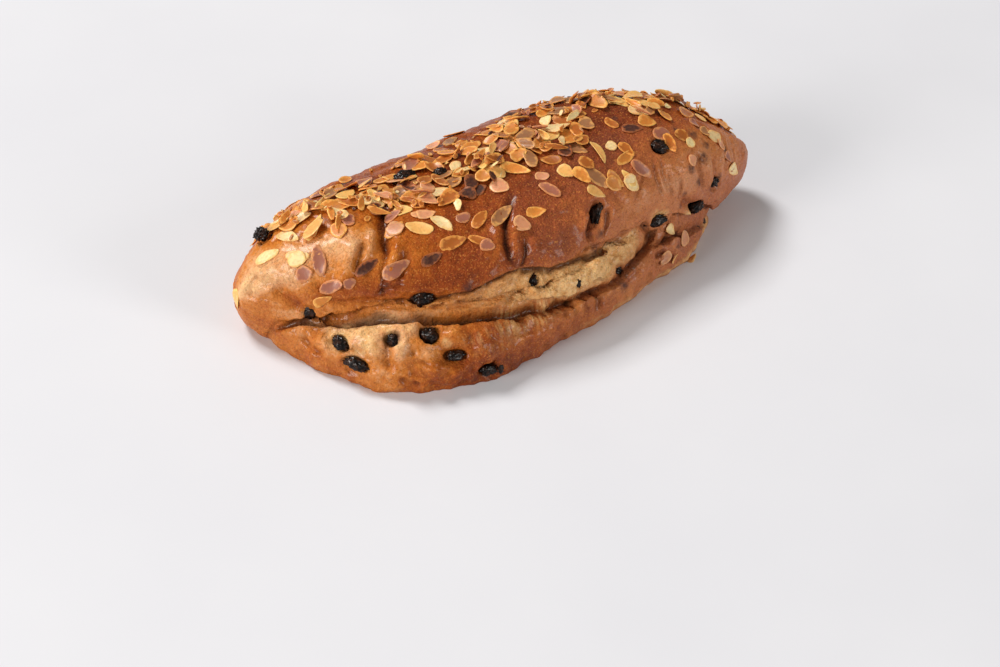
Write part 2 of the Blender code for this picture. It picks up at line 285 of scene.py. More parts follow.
def outward(rings):
    """The outward normal at each point of the rings."""
    ahead = np.gradient(rings, axis=0)
    beside = np.roll(rings, -1, axis=1) - np.roll(rings, 1, axis=1)
    normal = np.cross(ahead, beside)
    return normal / np.maximum(np.linalg.norm(normal, axis=-1, keepdims=True), NEARLY_NOTHING)


def lumps(rings, size, octaves, seed):
    """Uneven swelling, from about -1 to 1, with lumps of this size, or of three sizes along the axes."""
    shift = Vector((seed * 7.3, seed * 3.1, seed * 5.7))
    flat = (rings.reshape(-1, 3) / size).tolist()
    values = [noise.fractal(Vector(p) + shift, 1.0, 2.0, octaves) for p in flat]
    return np.array(values).reshape(rings.shape[:-1])


def swelling(rings, *rows):
    """Lumps laid over each other, each row giving their height, size, octaves and seed."""
    return sum(height * lumps(rings, size, octaves, seed) for height, size, octaves, seed in rows)


def spread_out(values, passes):
    """Values evened out over the neighbouring points."""
    for _ in range(passes):
        values = (np.roll(values, 1, axis=1) + values + np.roll(values, -1, axis=1)) / 3
        ends = np.concatenate([values[:1], values, values[-1:]])
        values = (ends[:-2] + ends[1:-1] + ends[2:]) / 3
    return values


def around_of(points):
    """The angle round the loaf of each point."""
    y0, z0 = core(points[..., 0])
    angle = np.degrees(np.arctan2(points[..., 2] - z0, y0 - points[..., 1]))
    return np.where(angle < -90, angle + 360, angle)


def node_pose(name):
    """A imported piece's middle, its long, wide and outward axes, and its half sizes, from its points."""
    points = np.array([v.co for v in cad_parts[name].data.vertices]) / MM
    middle = points.mean(axis=0)
    _, _, axes = np.linalg.svd(points - middle, full_matrices=False)
    away = middle - np.array([middle[0], *core(middle[0])])
    if axes[2] @ away < 0:
        axes[2] = -axes[2]
    axes[1] = np.cross(axes[2], axes[0])
    spread = (points - middle) @ axes.T
    low, high = spread.min(axis=0), spread.max(axis=0)
    return middle + axes.T @ ((low + high) / 2), axes, (high - low) / 2


RAISIN_NODES = sorted(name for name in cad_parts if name.startswith("raisin_"))
raisin_poses = [node_pose(name) for name in RAISIN_NODES]

# How each layer swells, as the height, size, octaves and seed of its lumps. Under the almonds the dough is a
# little lower, so that they and not the dough make the loaf's outline. The band shrank as it dried, and the
# lip rose against it and is the lumpier the farther left it is. Pairs of angles say where a change runs out.
ROLL_LUMPS = ((1.1, 26, 2, 1), (0.5, 9, 2, 2))
BAND_LUMPS = ((1.0, 15, 3, 3),)
LIP_LUMPS = ((1.8, 19, 3, 4),)
LIP_KNOBS = (1, 8, 2, 5)
KNOB_HEIGHT = (0.8, 0.9, 0.8, 0.5, 0.4, 0.3, 0.3)
KNOB_ANGLES = (6, -8)
FEWEST_KNOBS = 0.2
ALMOND_ROOM = 1.7
ALMOND_ANGLES = ((70, 90), (165, 145))
BAND_SHRINK = (1.0, 1.2, 1.3, 0.2, -0.9, -0.4, 0)
BAND_FOOT = (0, 0, 0.4, 1.0, 0.8, 0.4, 0)
BAND_FOOT_ANGLES = (18, 10)
LIP_RISE = (-6.0, -0.2, 1.7, 1.2, 2.2, 1.0, 0.2)
LIP_RISE_ANGLES = (-4, 8)
LIP_TUCK = 9.0
LIP_TUCK_ANGLES = (120, 150)
RAISIN_ROOM = 2.5
EDGE_ROOM = 5.0
EDGE_ANGLE = 2
RAISIN_REACH = 1.2


def rising(angles, span, least=0):
    """0, or the least share, up to the first angle, and 1 from the second one on."""
    return np.clip((angles - span[0]) / (span[1] - span[0]), least, 1)


def of_length_one(ways):
    """Directions with their length made 1."""
    return ways / np.linalg.norm(ways, axis=-1, keepdims=True)


smooth_tree = sheet_tree(smooth_dough)
angle_of = around_of(smooth_dough)
strewn_over = rising(angle_of, ALMOND_ANGLES[0]) * rising(angle_of, ALMOND_ANGLES[1])
side_of = of_length_one(spread_out(outward(smooth_dough), 4))
ahead = smooth_dough[..., 0]
by_raisin = np.zeros(angle_of.shape)
lip_room = np.zeros(angle_of.shape)
for middle, _, half in raisin_poses:
    off = np.linalg.norm(smooth_dough - middle, axis=-1)
    closeness = np.exp(-((off / (RAISIN_REACH * half[0])) ** 4))
    room = EDGE_ROOM if around_of(middle) > EDGE_ANGLE else RAISIN_ROOM
    by_raisin = np.maximum(by_raisin, closeness)
    lip_room = np.maximum(lip_room, closeness * room)
roll_swell = swelling(smooth_dough, *ROLL_LUMPS) - ALMOND_ROOM * strewn_over
band_swell = (swelling(smooth_dough, *BAND_LUMPS) - along(ahead, BAND_SHRINK)
              + along(ahead, BAND_FOOT) * rising(angle_of, BAND_FOOT_ANGLES))
lip_swell = (swelling(smooth_dough, *LIP_LUMPS)
             + along(ahead, KNOB_HEIGHT) * swelling(smooth_dough, LIP_KNOBS)
             * rising(angle_of, KNOB_ANGLES, FEWEST_KNOBS)
             + along(ahead, LIP_RISE) * rising(angle_of, LIP_RISE_ANGLES)
             - LIP_TUCK * rising(angle_of, LIP_TUCK_ANGLES))
swell = (roll_swell - by_raisin, band_swell - by_raisin, lip_swell - lip_room)

# Close to the table every change fades out, and where the loaf stands on it the sides move level.
FOOT_FADE = 2.0
LEVEL_BELOW = 6.0
STANDS_BELOW = 0.5
standing = np.clip(smooth_dough[..., 2] / FOOT_FADE, 0, 1)
on_table = smooth_dough[:, 0, 2] < STANDS_BELOW
side_of[on_table, :, 2] *= np.clip(smooth_dough[on_table, :, 2] / LEVEL_BELOW, 0, 1)
side_of = of_length_one(side_of)


def on_its_base(rings):
    """The rings with nothing below the table, and their base points in line between the two lower corners."""
    rings[..., 2] = np.maximum(rings[..., 2], 0)
    for corner in (0, SIDE_POINTS):
        rings[on_table, corner, 2] = 0
    back = rings[:, SIDE_POINTS]
    for k in range(1, BASE_POINTS):
        rings[:, SIDE_POINTS + k] = back + (rings[:, 0] - back) * k / BASE_POINTS
    return rings


DEEPEST_DENT, HIGHEST_BUMP = -8, 4
FINE_HALVINGS = 14
baked = on_its_base(settle(smooth_dough, side_of, DEEPEST_DENT, HIGHEST_BUMP,
                           lambda points: creased_form(points, swell), FINE_HALVINGS))
side_of = outward(baked)

# Wrinkles, folds, ridges and tears in the crust, each as its half width, how deep it goes (below 0 it is
# a ridge), and the pixels of the photograph that it runs through.
WRINKLES = (
    (4.4, 4.6, (382, 196), (384, 214), (383, 236), (385, 262)),
    (1.6, 1.6, (384, 232), (386, 250), (384, 272), (388, 286)),
    (4.0, -2.6, (358, 238), (352, 256), (346, 274), (340, 286)),
    (3.0, -2.4, (377, 226), (371, 244), (364, 262)),
    (2.6, 2.2, (366, 240), (359, 256), (354, 272)),
    (3.0, -1.8, (399, 238), (394, 258), (388, 276)),
    (2.2, 1.6, (408, 248), (402, 268), (398, 286)),
    (1.8, 3.0, (514, 190), (508, 208), (505, 226), (506, 244), (510, 258), (518, 270)),
    (1.3, 2.2, (524, 240), (526, 252), (524, 262), (519, 270)),
    (2.6, -2.2, (514, 222), (515, 240), (517, 258)),
    (2.4, -1.6, (533, 236), (533, 256)),
    (2.6, -1.4, (497, 222), (496, 244), (500, 262)),
    (2.4, 4.4, (597, 200), (594, 214), (590, 232), (593, 246)),
    (1.4, 2.0, (608, 206), (607, 222), (603, 238)),
    (2.4, -1.8, (602, 204), (601, 222), (600, 240)),
    (2.6, -1.6, (588, 212), (584, 232)),
    (3.0, -1.8, (600, 250), (594, 254), (588, 250)),
    (1.2, 1.4, (653, 156), (655, 172), (660, 186), (664, 198)),
    (1.0, 1.1, (660, 158), (664, 174), (669, 192)),
    (0.9, 1.0, (669, 170), (671, 184), (673, 198)),
    (1.1, 1.2, (682, 176), (682, 188), (678, 202)),
    (1.2, 1.0, (646, 168), (640, 186), (634, 204)),
    (3.2, 4.2, (682, 198), (690, 205), (700, 211), (708, 214)),
    (1.6, 1.6, (698, 148), (698, 164), (702, 178), (704, 192)),
    (1.3, 1.4, (711, 156), (714, 170), (714, 184)),
    (1.2, 1.3, (722, 140), (726, 156), (724, 174)),
    (1.0, 1.2, (732, 146), (735, 160), (734, 176)),
    (2.2, -1.2, (706, 150), (708, 168), (708, 186)),
    (2.0, -1.2, (719, 150), (720, 168), (717, 184)),
    (4.6, 3.4, (272, 286), (288, 299), (306, 313)),
    (2.4, 1.2, (250, 276), (262, 283), (276, 285)),
    (2.0, 1.0, (244, 292), (258, 298), (272, 300)),
    (2.2, 1.1, (256, 272), (250, 286), (248, 300)),
    (3.2, 2.6, (383, 330), (389, 342), (386, 360), (392, 376)),
    (2.2, 1.5, (408, 346), (414, 356), (410, 370), (418, 382)),
    (2.8, 2.0, (436, 340), (446, 352), (442, 370)),
    (4.2, -2.6, (357, 328), (366, 338), (376, 346)),
    (4.0, -2.4, (398, 332), (401, 346), (399, 362)),
    (3.6, -2.2, (428, 350), (430, 362), (427, 374)),
    (3.6, -2.0, (446, 330), (456, 338), (468, 342)),
    (3.0, -2.0, (475, 344), (486, 352), (494, 362)),
    (2.0, 2.0, (322, 330), (332, 342), (346, 350), (362, 352)),
    (2.2, 1.8, (300, 336), (310, 348), (326, 358)),
    (1.4, 1.2, (412, 362), (424, 362), (436, 368)),
    (2.6, 2.4, (396, 374), (408, 384), (424, 388)),
    (1.6, 1.8, (596, 288), (600, 300), (596, 312)),
    (1.0, 1.4, (572, 298), (574, 308), (575, 318)),
    (1.0, 1.6, (583, 292), (585, 306), (588, 320)),
    (0.9, 1.2, (563, 304), (564, 316)),
    (1.6, -1.4, (578, 298), (580, 312)),
    (2.6, 2.0, (640, 260), (634, 274), (620, 288)),
    (2.0, 1.4, (660, 236), (664, 250), (658, 262)),
    (1.6, 1.4, (316, 282), (330, 300), (352, 306)),
    (1.4, 1.6, (372, 296), (384, 292), (396, 286), (404, 284)),
    (1.4, 1.0, (600, 250), (630, 232), (652, 214)),
    (0.9, 1.5, (384, 276), (382, 287), (383, 297)),
    (0.8, 1.2, (376, 299), (380, 308), (386, 316)),
    (0.8, 1.0, (352, 300), (354, 308), (357, 316)),
    (0.8, 1.1, (447, 298), (442, 307), (430, 314)),
)


# The seam under the roll's crust: its pixels from left to right, its half width and its depth. It is soft
# at the left and crisp at the right, and the band's paler dough begins right below it.
SEAM = (
    (318, 305), (360, 302), (400, 300), (430, 299), (450, 297), (470, 293), (490, 285), (500, 278),
    (520, 271), (550, 271), (575, 262), (600, 253), (620, 242), (636, 233),
)
SEAM_HALF_WIDTH = 1.3
SEAM_DEPTH = 3.2
SEAM_BLUR = 0.9
SEAM_ENDS = 5.0

# The left part of the crease over the lip, which gapes, and whose bottom is painted dark with shade.
LOW_SEAM = ((266, 336), (280, 327), (300, 322), (320, 320), (345, 323), (370, 321), (392, 319))
LOW_SEAM_HALF_WIDTH = 1.2
LOW_SEAM_DEPTH = 2.8
STROKE_REACH = 3
STROKE_FADE = 6


def stroke_depth(points, line, half_width, depth):
    """How far a wrinkle along this line pushes each point in. It fades out towards both ends."""
    found = [seen(smooth_tree, *pixel)[0] for pixel in line]
    bends = np.array([p for p in found if p is not None])
    pushed = np.zeros(len(points))
    low = bends.min(axis=0) - STROKE_REACH * half_width
    high = bends.max(axis=0) + STROKE_REACH * half_width
    near = np.flatnonzero(((points > low) & (points < high)).all(axis=1))
    best = np.full(len(near), np.inf)
    place = np.zeros(len(near))
    for i, (a, b) in enumerate(zip(bends, bends[1:])):
        run = b - a
        share = np.clip((points[near] - a) @ run / (run @ run), 0, 1)
        off = np.linalg.norm(points[near] - a - share[:, None] * run, axis=1)
        place = np.where(off < best, (i + share) / (len(bends) - 1), place)
        best = np.minimum(best, off)
    fade = np.clip(STROKE_FADE * place * (1 - place), 0, 1)
    pushed[near] = depth * fade * np.exp(-((best / half_width) ** 2))
    return pushed


flat_points = smooth_dough.reshape(-1, 3)
wrinkle_depth = sum(stroke_depth(flat_points, line, width, depth) for width, depth, *line in WRINKLES)
wrinkle_depth = wrinkle_depth.reshape(baked.shape[:2])
seam_depth = (stroke_depth(flat_points, SEAM, SEAM_HALF_WIDTH, SEAM_DEPTH)
              + stroke_depth(flat_points, LOW_SEAM, LOW_SEAM_HALF_WIDTH, LOW_SEAM_DEPTH))
seam_depth = seam_depth.reshape(baked.shape[:2])

# Where each layer shows: 1 on the roll's crust, on the band or on the lip.
EDGE_BLUR = 0.8
FULLY = 30
gaps = layers(*np.moveaxis(baked, -1, 0))
roll_gap, band_gap, lip_gap = (part - more for part, more in zip(gaps, swell))


def soft_step(value):
    """A smooth step from 0 far below nothing to 1 far above it."""
    return 1 / (1 + np.exp(-np.clip(value, -FULLY, FULLY)))


def shows(gap, *others):
    """1 where this layer is the outermost one and 0 elsewhere."""
    return soft_step((np.minimum.reduce(others) - gap) / EDGE_BLUR)


def below_seam(rings, angles):
    """1 on the dough below the seam and between its two ends, and 0 above it."""
    line = np.array([seen(smooth_tree, *pixel)[0] for pixel in SEAM])
    over = np.interp(rings[..., 0], line[:, 0], around_of(line))
    within = np.minimum(rings[..., 0] - line[0, 0], line[-1, 0] - rings[..., 0])
    return soft_step((over - angles) / SEAM_BLUR) * np.clip(within / SEAM_ENDS + 1, 0, 1)


on_lip = shows(lip_gap, roll_gap, band_gap)
on_band = below_seam(baked, angle_of) * (1 - on_lip)

# The skin: the roll's crust is smooth with small blisters, the band is torn and crumbly, and the lip is in
# between. The two grains are given as size, octaves and seed.
FINE_GRAIN = (2.2, 2, 6)
COARSE_GRAIN = (5.0, 3, 7)
ROLL_GRAIN = 0.20
BAND_GRAIN = 1.0
LIP_GRAIN = 0.34
CRUST_COARSENESS = 1.2
BAND_FINENESS = 0.7
fine_grain = lumps(baked, *FINE_GRAIN)
coarse_grain = lumps(baked, *COARSE_GRAIN)
grain = ((ROLL_GRAIN * (1 - on_band - on_lip) + LIP_GRAIN * on_lip)
         * (fine_grain + CRUST_COARSENESS * coarse_grain)
         + BAND_GRAIN * on_band * (BAND_FINENESS * fine_grain + coarse_grain))

# Just below the band the lip's skin is torn into upright strands of paler dough: how much at the stations,
# and the angle round the loaf that it is torn at. Clouds and strands are given as before.
TORN = (0, 0, 0.25, 1.0, 0.6, 0.05, 0)
TORN_ANGLE = 1
TORN_HALF_ANGLE = 9
TORN_WHOLLY = 1.5
TORN_CLOUDS = (1.6, 9, 2, 14)
TORN_MEAN = 0.7
STRANDS = ((1.9, 10, 10), 2, 10)
STRAND_DEPTH = 1.6
torn = on_lip * along(baked[..., 0], TORN) * np.clip(
    TORN_WHOLLY - TORN_WHOLLY * np.abs(angle_of - TORN_ANGLE) / TORN_HALF_ANGLE, 0, 1)
torn = torn * np.clip(TORN_MEAN + swelling(baked, TORN_CLOUDS), 0, 1)
grain = grain + STRAND_DEPTH * torn * lumps(baked, *STRANDS)
baked = on_its_base(baked + side_of * ((grain - wrinkle_depth - seam_depth) * standing)[..., None])


# Round each raisin the dough has a hollow and a raised collar, their places and widths given as shares of the
# raisin's half size.
DIMPLE_DEPTH = 1.6
DIMPLE_REACH = 0.95
COLLAR_HEIGHT = 0.5
COLLAR_PLACE = 1.32
COLLAR_WIDTH = 0.26
DIMPLE_END = 3
DIMPLE_LEVEL = 4
FACING = 0.2


def dimple(rings, normals, centre, axes, half):
    """The hollow and the raised collar that the dough makes round something pressed into it."""
    offset = rings - centre
    across = np.sqrt(sum((offset @ axis / size) ** 2 for axis, size in zip(axes[:2], half[:2])))
    facing = normals @ axes[2] > FACING
    level = np.abs(offset @ axes[2]) < DIMPLE_LEVEL * max(half)
    hollow = -DIMPLE_DEPTH * np.exp(-((across / DIMPLE_REACH) ** 4))
    collar = COLLAR_HEIGHT * np.exp(-(((across - COLLAR_PLACE) / COLLAR_WIDTH) ** 2))
    return np.where(facing & level & (across < DIMPLE_END), hollow + collar, 0)


side_of = of_length_one(spread_out(outward(baked), 3))
pressed = sum(dimple(baked, side_of, *pose) for pose in raisin_poses)
baked = on_its_base(baked + side_of * (pressed * standing)[..., None])


def hollows(rings, reach):
    """How far each point lies below its neighbours at this many points away, in millimetres."""
    padded = np.concatenate([rings[:1]] * reach + [rings] + [rings[-1:]] * reach)
    neighbours = (np.roll(rings, reach, axis=1) + np.roll(rings, -reach, axis=1)
                  + padded[2 * reach:] + padded[:-2 * reach]) / 4
    return ((neighbours - rings) * side_of).sum(axis=-1)


# Painted shade in the hollows and creases: for each reach, the depth where the painted shade begins, the
# depth of its full strength past that, and its strength. The pale band takes less of it, and the seams are
# painted dark with shade at their bottom.
SHADED_HOLLOWS = ((2, 0.1, 0.8, 0.7), (5, 0.9, 2.4, 0.4))
BAND_KEEPS_PALE = 0.75
SEAM_DARK_DEPTH = 2.4
SEAM_DARK_FROM = 0.3
SEAM_DARKEST = 0.9
# Painted shade in the hollows and at the bottom of the seams.
painted_crease_shade = sum(np.clip((hollows(baked, reach) - begin) / more, 0, 1) * strength
                for reach, begin, more, strength in SHADED_HOLLOWS)
painted_crease_shade = spread_out(np.clip(painted_crease_shade, 0, 1), 1) * (1 - BAND_KEEPS_PALE * on_band)
painted_crease_shade = np.maximum(painted_crease_shade, np.clip(seam_depth / SEAM_DARK_DEPTH - SEAM_DARK_FROM, 0, SEAM_DARKEST))

# How brown the crust is, from 0 for pale dough to 1 for dark crust. It holds painted light and shade as well:
# the upper left end is painted lighter, and the dough just above the left crease, the lip's foot and the lip
# under the band are painted darker where they lie in shade. A row for each station, a column for each angle
# round the loaf.
# Large and small clouds, as height, size, octaves and seed, make it uneven.
TOAST_ANGLES = (-20, 0, 10, 17, 30, 50, 75, 100, 130, 200)
TOAST_AND_SHADE = (
    (0.54, 0.44, 0.42, 0.41, 0.36, 0.10, 0.06, 0.34, 0.54, 0.54),
    (0.56, 0.12, 0.00, 0.66, 0.76, 0.38, 0.16, 0.56, 0.74, 0.62),
    (1.00, 0.72, 0.48, 0.64, 0.86, 0.80, 0.80, 0.80, 0.82, 0.64),
    (0.70, 0.56, 0.49, 0.64, 0.94, 0.88, 0.92, 0.84, 0.86, 0.66),
    (0.52, 0.42, 0.40, 0.44, 0.34, 0.60, 0.94, 0.98, 0.92, 0.68),
    (0.70, 0.66, 0.62, 0.44, 0.32, 0.32, 0.66, 0.84, 0.84, 0.66),
    (0.64, 0.62, 0.60, 0.56, 0.44, 0.42, 0.56, 0.76, 0.76, 0.62),
)
BAND_TOAST = (0.52, 0.48, 0.45, 0.42, 0.40, 0.44, 0.46)
LARGE_CLOUDS = (0.12, 30, 3, 8)
SMALL_CLOUDS = (0.10, 8, 3, 9)
CLOUDS_OFF_LIP = 0.5
# Wrinkle ridges are painted paler as painted highlight and their folds browner as painted shade, by this much
# per millimetre of depth.
RIDGE_HIGHLIGHT_FOLD_SHADE = 0.05


def toast_of(rings, angles):
    """How brown each point is, read off between the stations and angles."""
    x = np.clip(rings[..., 0], STATIONS[0], STATIONS[-1])
    rows = np.stack([np.interp(angles, TOAST_ANGLES, row) for row in TOAST_AND_SHADE])
    at = np.interp(x, STATIONS, np.arange(len(STATIONS)))
    i = np.clip(at.astype(int), 0, len(STATIONS) - 2)
    part = at - i
    near = np.take_along_axis(rows, i[None], axis=0)[0]
    far = np.take_along_axis(rows, i[None] + 1, axis=0)[0]
    return near + (far - near) * part


# The browning, with painted light and shade in it.
toast = toast_of(baked, angle_of)
toast += (along(baked[..., 0], BAND_TOAST) - toast) * on_band
toast += swelling(baked, LARGE_CLOUDS) + swelling(baked, SMALL_CLOUDS) * (CLOUDS_OFF_LIP + on_lip)
# Painted highlight on the ridges and painted shade in the folds.
toast += RIDGE_HIGHLIGHT_FOLD_SHADE * wrinkle_depth


def patches(spots, rings):
    """1 on patches of the dough, each given by the pixel of its middle and its radius, and 0 elsewhere."""
    shade = np.zeros(rings.shape[:2])
    for across, down, radius in spots:
        middle = np.array(seen(smooth_tree, across, down)[0])
        off = np.linalg.norm(rings - middle, axis=-1)
        shade = np.maximum(shade, np.exp(-((off / radius) ** 4)))
    return shade


# The band's dough is palest where it opened widest, and the right half of the crust is rosier than the left.
# On the left the top of the lip is paler, partly hardly browned dough and partly painted light where the lamp
# falls on it. Along its foot on the right the skin has peeled.
PALE_AND_LIT_PATCHES = (
    (447, 343, 3), (362, 338, 11), (380, 330, 8), (340, 334, 9), (404, 328, 5), (660, 215, 6), (690, 212, 4),
)
BAND_PALENESS = (0.0, 0.0, 0.3, 0.95, 0.95, 0.45, 0.3)
ROSINESS = (0.25, 0.2, 0.15, 0.5, 0.9, 1.0, 1.0)
ROSINESS_SLOPE = (1.3, 0.012)
LEAST_ROSY = 0.15
PEELED_EDGE = (0, 0, 0, 0.1, 0.8, 0.9, 0.5)
PEELED_HEIGHT = 3.0
PEELED_BLUR = 2.2
PEELED_BELOW = 10
PEELED_CLOUDS = (1.2, 5, 2, 12)
PATCH_CLOUDS = (1, 6, 3, 13)
CLOUDED = 0.6
PALEST_PATCH = 0.9
peeled = along(baked[..., 0], PEELED_EDGE) * np.exp(-(((baked[..., 2] - PEELED_HEIGHT) / PEELED_BLUR) ** 2))
peeled = peeled * (angle_of < PEELED_BELOW) * np.clip(CLOUDED + swelling(baked, PEELED_CLOUDS), 0, 1)
# The pale patches: partly hardly browned dough and partly painted light.
pale_and_lit_patches = patches(PALE_AND_LIT_PATCHES, baked) * np.clip(
    CLOUDED + swelling(baked, PATCH_CLOUDS), 0, PALEST_PATCH)
paleness_and_light = np.maximum(np.maximum(on_band * along(baked[..., 0], BAND_PALENESS), peeled), pale_and_lit_patches)
rosiness = along(baked[..., 0], ROSINESS) * np.clip(
    ROSINESS_SLOPE[0] - ROSINESS_SLOPE[1] * angle_of, LEAST_ROSY, 1)

# Raisins just under the skin show through it as dark smudges: the pixel of each and its radius.
SMUDGES = (
    (395, 338, 4.0), (468, 288, 3.2), (385, 286, 2.6), (505, 298, 4.4), (600, 234, 3.0), (577, 285, 2.4),
    (568, 297, 3.2), (624, 287, 3.2), (598, 276, 4.0), (685, 196, 2.6), (700, 182, 3.0), (713, 186, 3.6),
    (706, 145, 2.6), (691, 168, 3.2), (703, 158, 3.4), (718, 176, 2.4), (693, 134, 3.4), (676, 128, 2.4),
    (345, 180, 3.0), (615, 117, 2.4), (597, 250, 4.0), (678, 245, 2.2), (724, 150, 2.6), (683, 205, 2.6),
)
smudge = patches(SMUDGES, baked)


def facing_out(mesh):
    """The mesh with its faces turned outward and smoothly shaded."""
    shape = bmesh.new()
    shape.from_mesh(mesh)
    bmesh.ops.recalc_face_normals(shape, faces=shape.faces)
    shape.to_mesh(mesh)
    shape.free()
    mesh.shade_smooth()
    return mesh


def loaf_mesh(rings, looks):
    """The loaf's skin: rings closed by a fan at each end, with the named looks at each of its points."""
    count, points = rings.shape[:2]
    tips = np.array([[end, *core(end)] for end in map(float, ROLL_ENDS)])
    verts = np.concatenate([rings.reshape(-1, 3), tips]) * MM
    faces = ring_faces(count, points).tolist()
    for tip, start in ((count * points, 0), (count * points + 1, (count - 1) * points)):
        for i in range(points):
            pair = (start + i, start + (i + 1) % points)
            faces.append((tip, *pair) if start == 0 else (tip, *reversed(pair)))
    mesh = bpy.data.meshes.new("baked_dough")
    mesh.from_pydata(verts.tolist(), [], faces)
    for name, values in looks.items():
        ends = [values[0].mean(), values[-1].mean()]
        mesh.attributes.new(name, "FLOAT", "POINT").data.foreach_set(
            "value", np.concatenate([values.reshape(-1), ends]).astype(np.float32))
    return facing_out(mesh)


def new_piece(name, mesh, finish):
    """One piece of the loaf, moving with it."""
    piece = bpy.data.objects.new(name, mesh)
    bpy.context.scene.collection.objects.link(piece)
    mesh.materials.append(finish)
    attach(piece, "root")
    return piece


class Finish:
    """A procedural finish, built node by node onto its shader."""

    CLOUDS = (0.3, 0.7)

    def __init__(self, name, **even):
        self.material = bpy.data.materials.new(name)
        self.material.use_nodes = True
        self.nodes = self.material.node_tree.nodes
        self.links = self.material.node_tree.links
        self.shader = self.nodes["Principled BSDF"]
        for socket, value in even.items():
            self.shader.inputs[socket.replace("_", " ")].default_value = value
        self.place = self.nodes.new("ShaderNodeTexCoord").outputs["Object"]

    def feed(self, socket, value):
        """Puts a number, a colour or another node's output into a socket."""
        if isinstance(value, bpy.types.NodeSocket):
            self.links.new(value, socket)
        else:
            socket.default_value = value

    def look(self, name, output="Fac"):
        """A value that each point of the mesh carries."""
        node = self.nodes.new("ShaderNodeAttribute")
        node.attribute_name = name
        return node.outputs[output]

    def specks(self, size, detail=2.0, stretch=(1, 1, 1)):
        """Cloudy noise from 0 to 1, with blots of this size in millimetres."""
        turn = self.nodes.new("ShaderNodeMapping")
        self.links.new(self.place, turn.inputs["Vector"])
        turn.inputs["Scale"].default_value = stretch
        node = self.nodes.new("ShaderNodeTexNoise")
        self.links.new(turn.outputs["Vector"], node.inputs["Vector"])
        node.inputs["Scale"].default_value = 1 / (size * MM)
        node.inputs["Detail"].default_value = detail
        return node.outputs["Fac"]

    def span(self, value, low, high, to_low=0.0, to_high=1.0):
        """Value, stretched from one range to another and held within it."""
        node = self.nodes.new("ShaderNodeMapRange")
        self.feed(node.inputs["Value"], value)
        for socket, number in zip(("From Min", "From Max", "To Min", "To Max"), (low, high, to_low, to_high)):
            node.inputs[socket].default_value = number
        return node.outputs["Result"]

    def uneven(self, size, detail, low, high):
        """Cloudy noise that goes from low to high."""
        return self.span(self.specks(size, detail), *self.CLOUDS, low, high)

    def reckon(self, kind, one, two):
        """One step of arithmetic."""
        node = self.nodes.new("ShaderNodeMath")
        node.operation = kind
        self.feed(node.inputs[0], one)
        self.feed(node.inputs[1], two)
        return node.outputs["Value"]

    def blend(self, share, under, over):
        """Two colours, mixed by a share."""
        node = self.nodes.new("ShaderNodeMix")
        node.data_type = "RGBA"
        self.feed(node.inputs["Factor"], share)
        self.feed(node.inputs[6], under)
        self.feed(node.inputs[7], over)
        return node.outputs[2]

    def shades(self, value, *stops):
        """A colour for each value, through these stops from low to high."""
        node = self.nodes.new("ShaderNodeValToRGB")
        ramp = node.color_ramp
        for place, _ in stops[1:-1]:
            ramp.elements.new(place)
        for element, (place, colour) in zip(ramp.elements, stops):
            element.position = place
            element.color = (*colour, 1)
        self.links.new(value, node.inputs["Fac"])
        return node.outputs["Color"]

    def relief(self, height, deep):
        """Fine bumps of this depth in millimetres."""
        node = self.nodes.new("ShaderNodeBump")
        node.inputs["Distance"].default_value = deep * MM
        node.inputs["Strength"].default_value = 1.0
        self.links.new(height, node.inputs["Height"])
        self.links.new(node.outputs["Normal"], self.shader.inputs["Normal"])

    def cover(self, colour, roughness):
        """Gives the surface its colour and its roughness."""
        self.feed(self.shader.inputs["Base Color"], colour)
        self.feed(self.shader.inputs["Roughness"], roughness)


# The crust's colours: from pale dough to the darkest brown as the toast goes from 0 to 1, then what is laid
# over them, in this order. The blisters' light specks are partly painted glints, and the crease colour is
# painted shade.
CRUST_SHADES = (
    (0.0, (0.86, 0.53, 0.25)),
    (0.2, (0.76, 0.37, 0.16)),
    (0.4, (0.62, 0.20, 0.026)),
    (0.6, (0.44, 0.105, 0.005)),
    (0.8, (0.28, 0.047, 0.001)),
    (1.0, (0.14, 0.017, 0.0006)),
)
ROSY_COLOUR = (0.53, 0.20, 0.115, 1)
ROSY_SHARE = 0.58
CRUMB_SHADES = ((0.3, (0.74, 0.36, 0.11)), (0.7, (0.95, 0.62, 0.29)))
STRAND_STRETCH = (1, 0.16, 0.16)
# Light specks of small blisters, partly painted glints where they catch the light.
BLISTER_GLINT_COLOUR = (0.80, 0.32, 0.07, 1)
PORE_COLOUR = (0.14, 0.03, 0.006, 1)
SMUDGE_COLOUR = (0.065, 0.028, 0.026, 1)
# Painted shade, laid over the crust in its creases and hollows.
CREASE_SHADE_COLOUR = (0.06, 0.012, 0.003, 1)
CREASE_SHADE_SHARE = 0.92


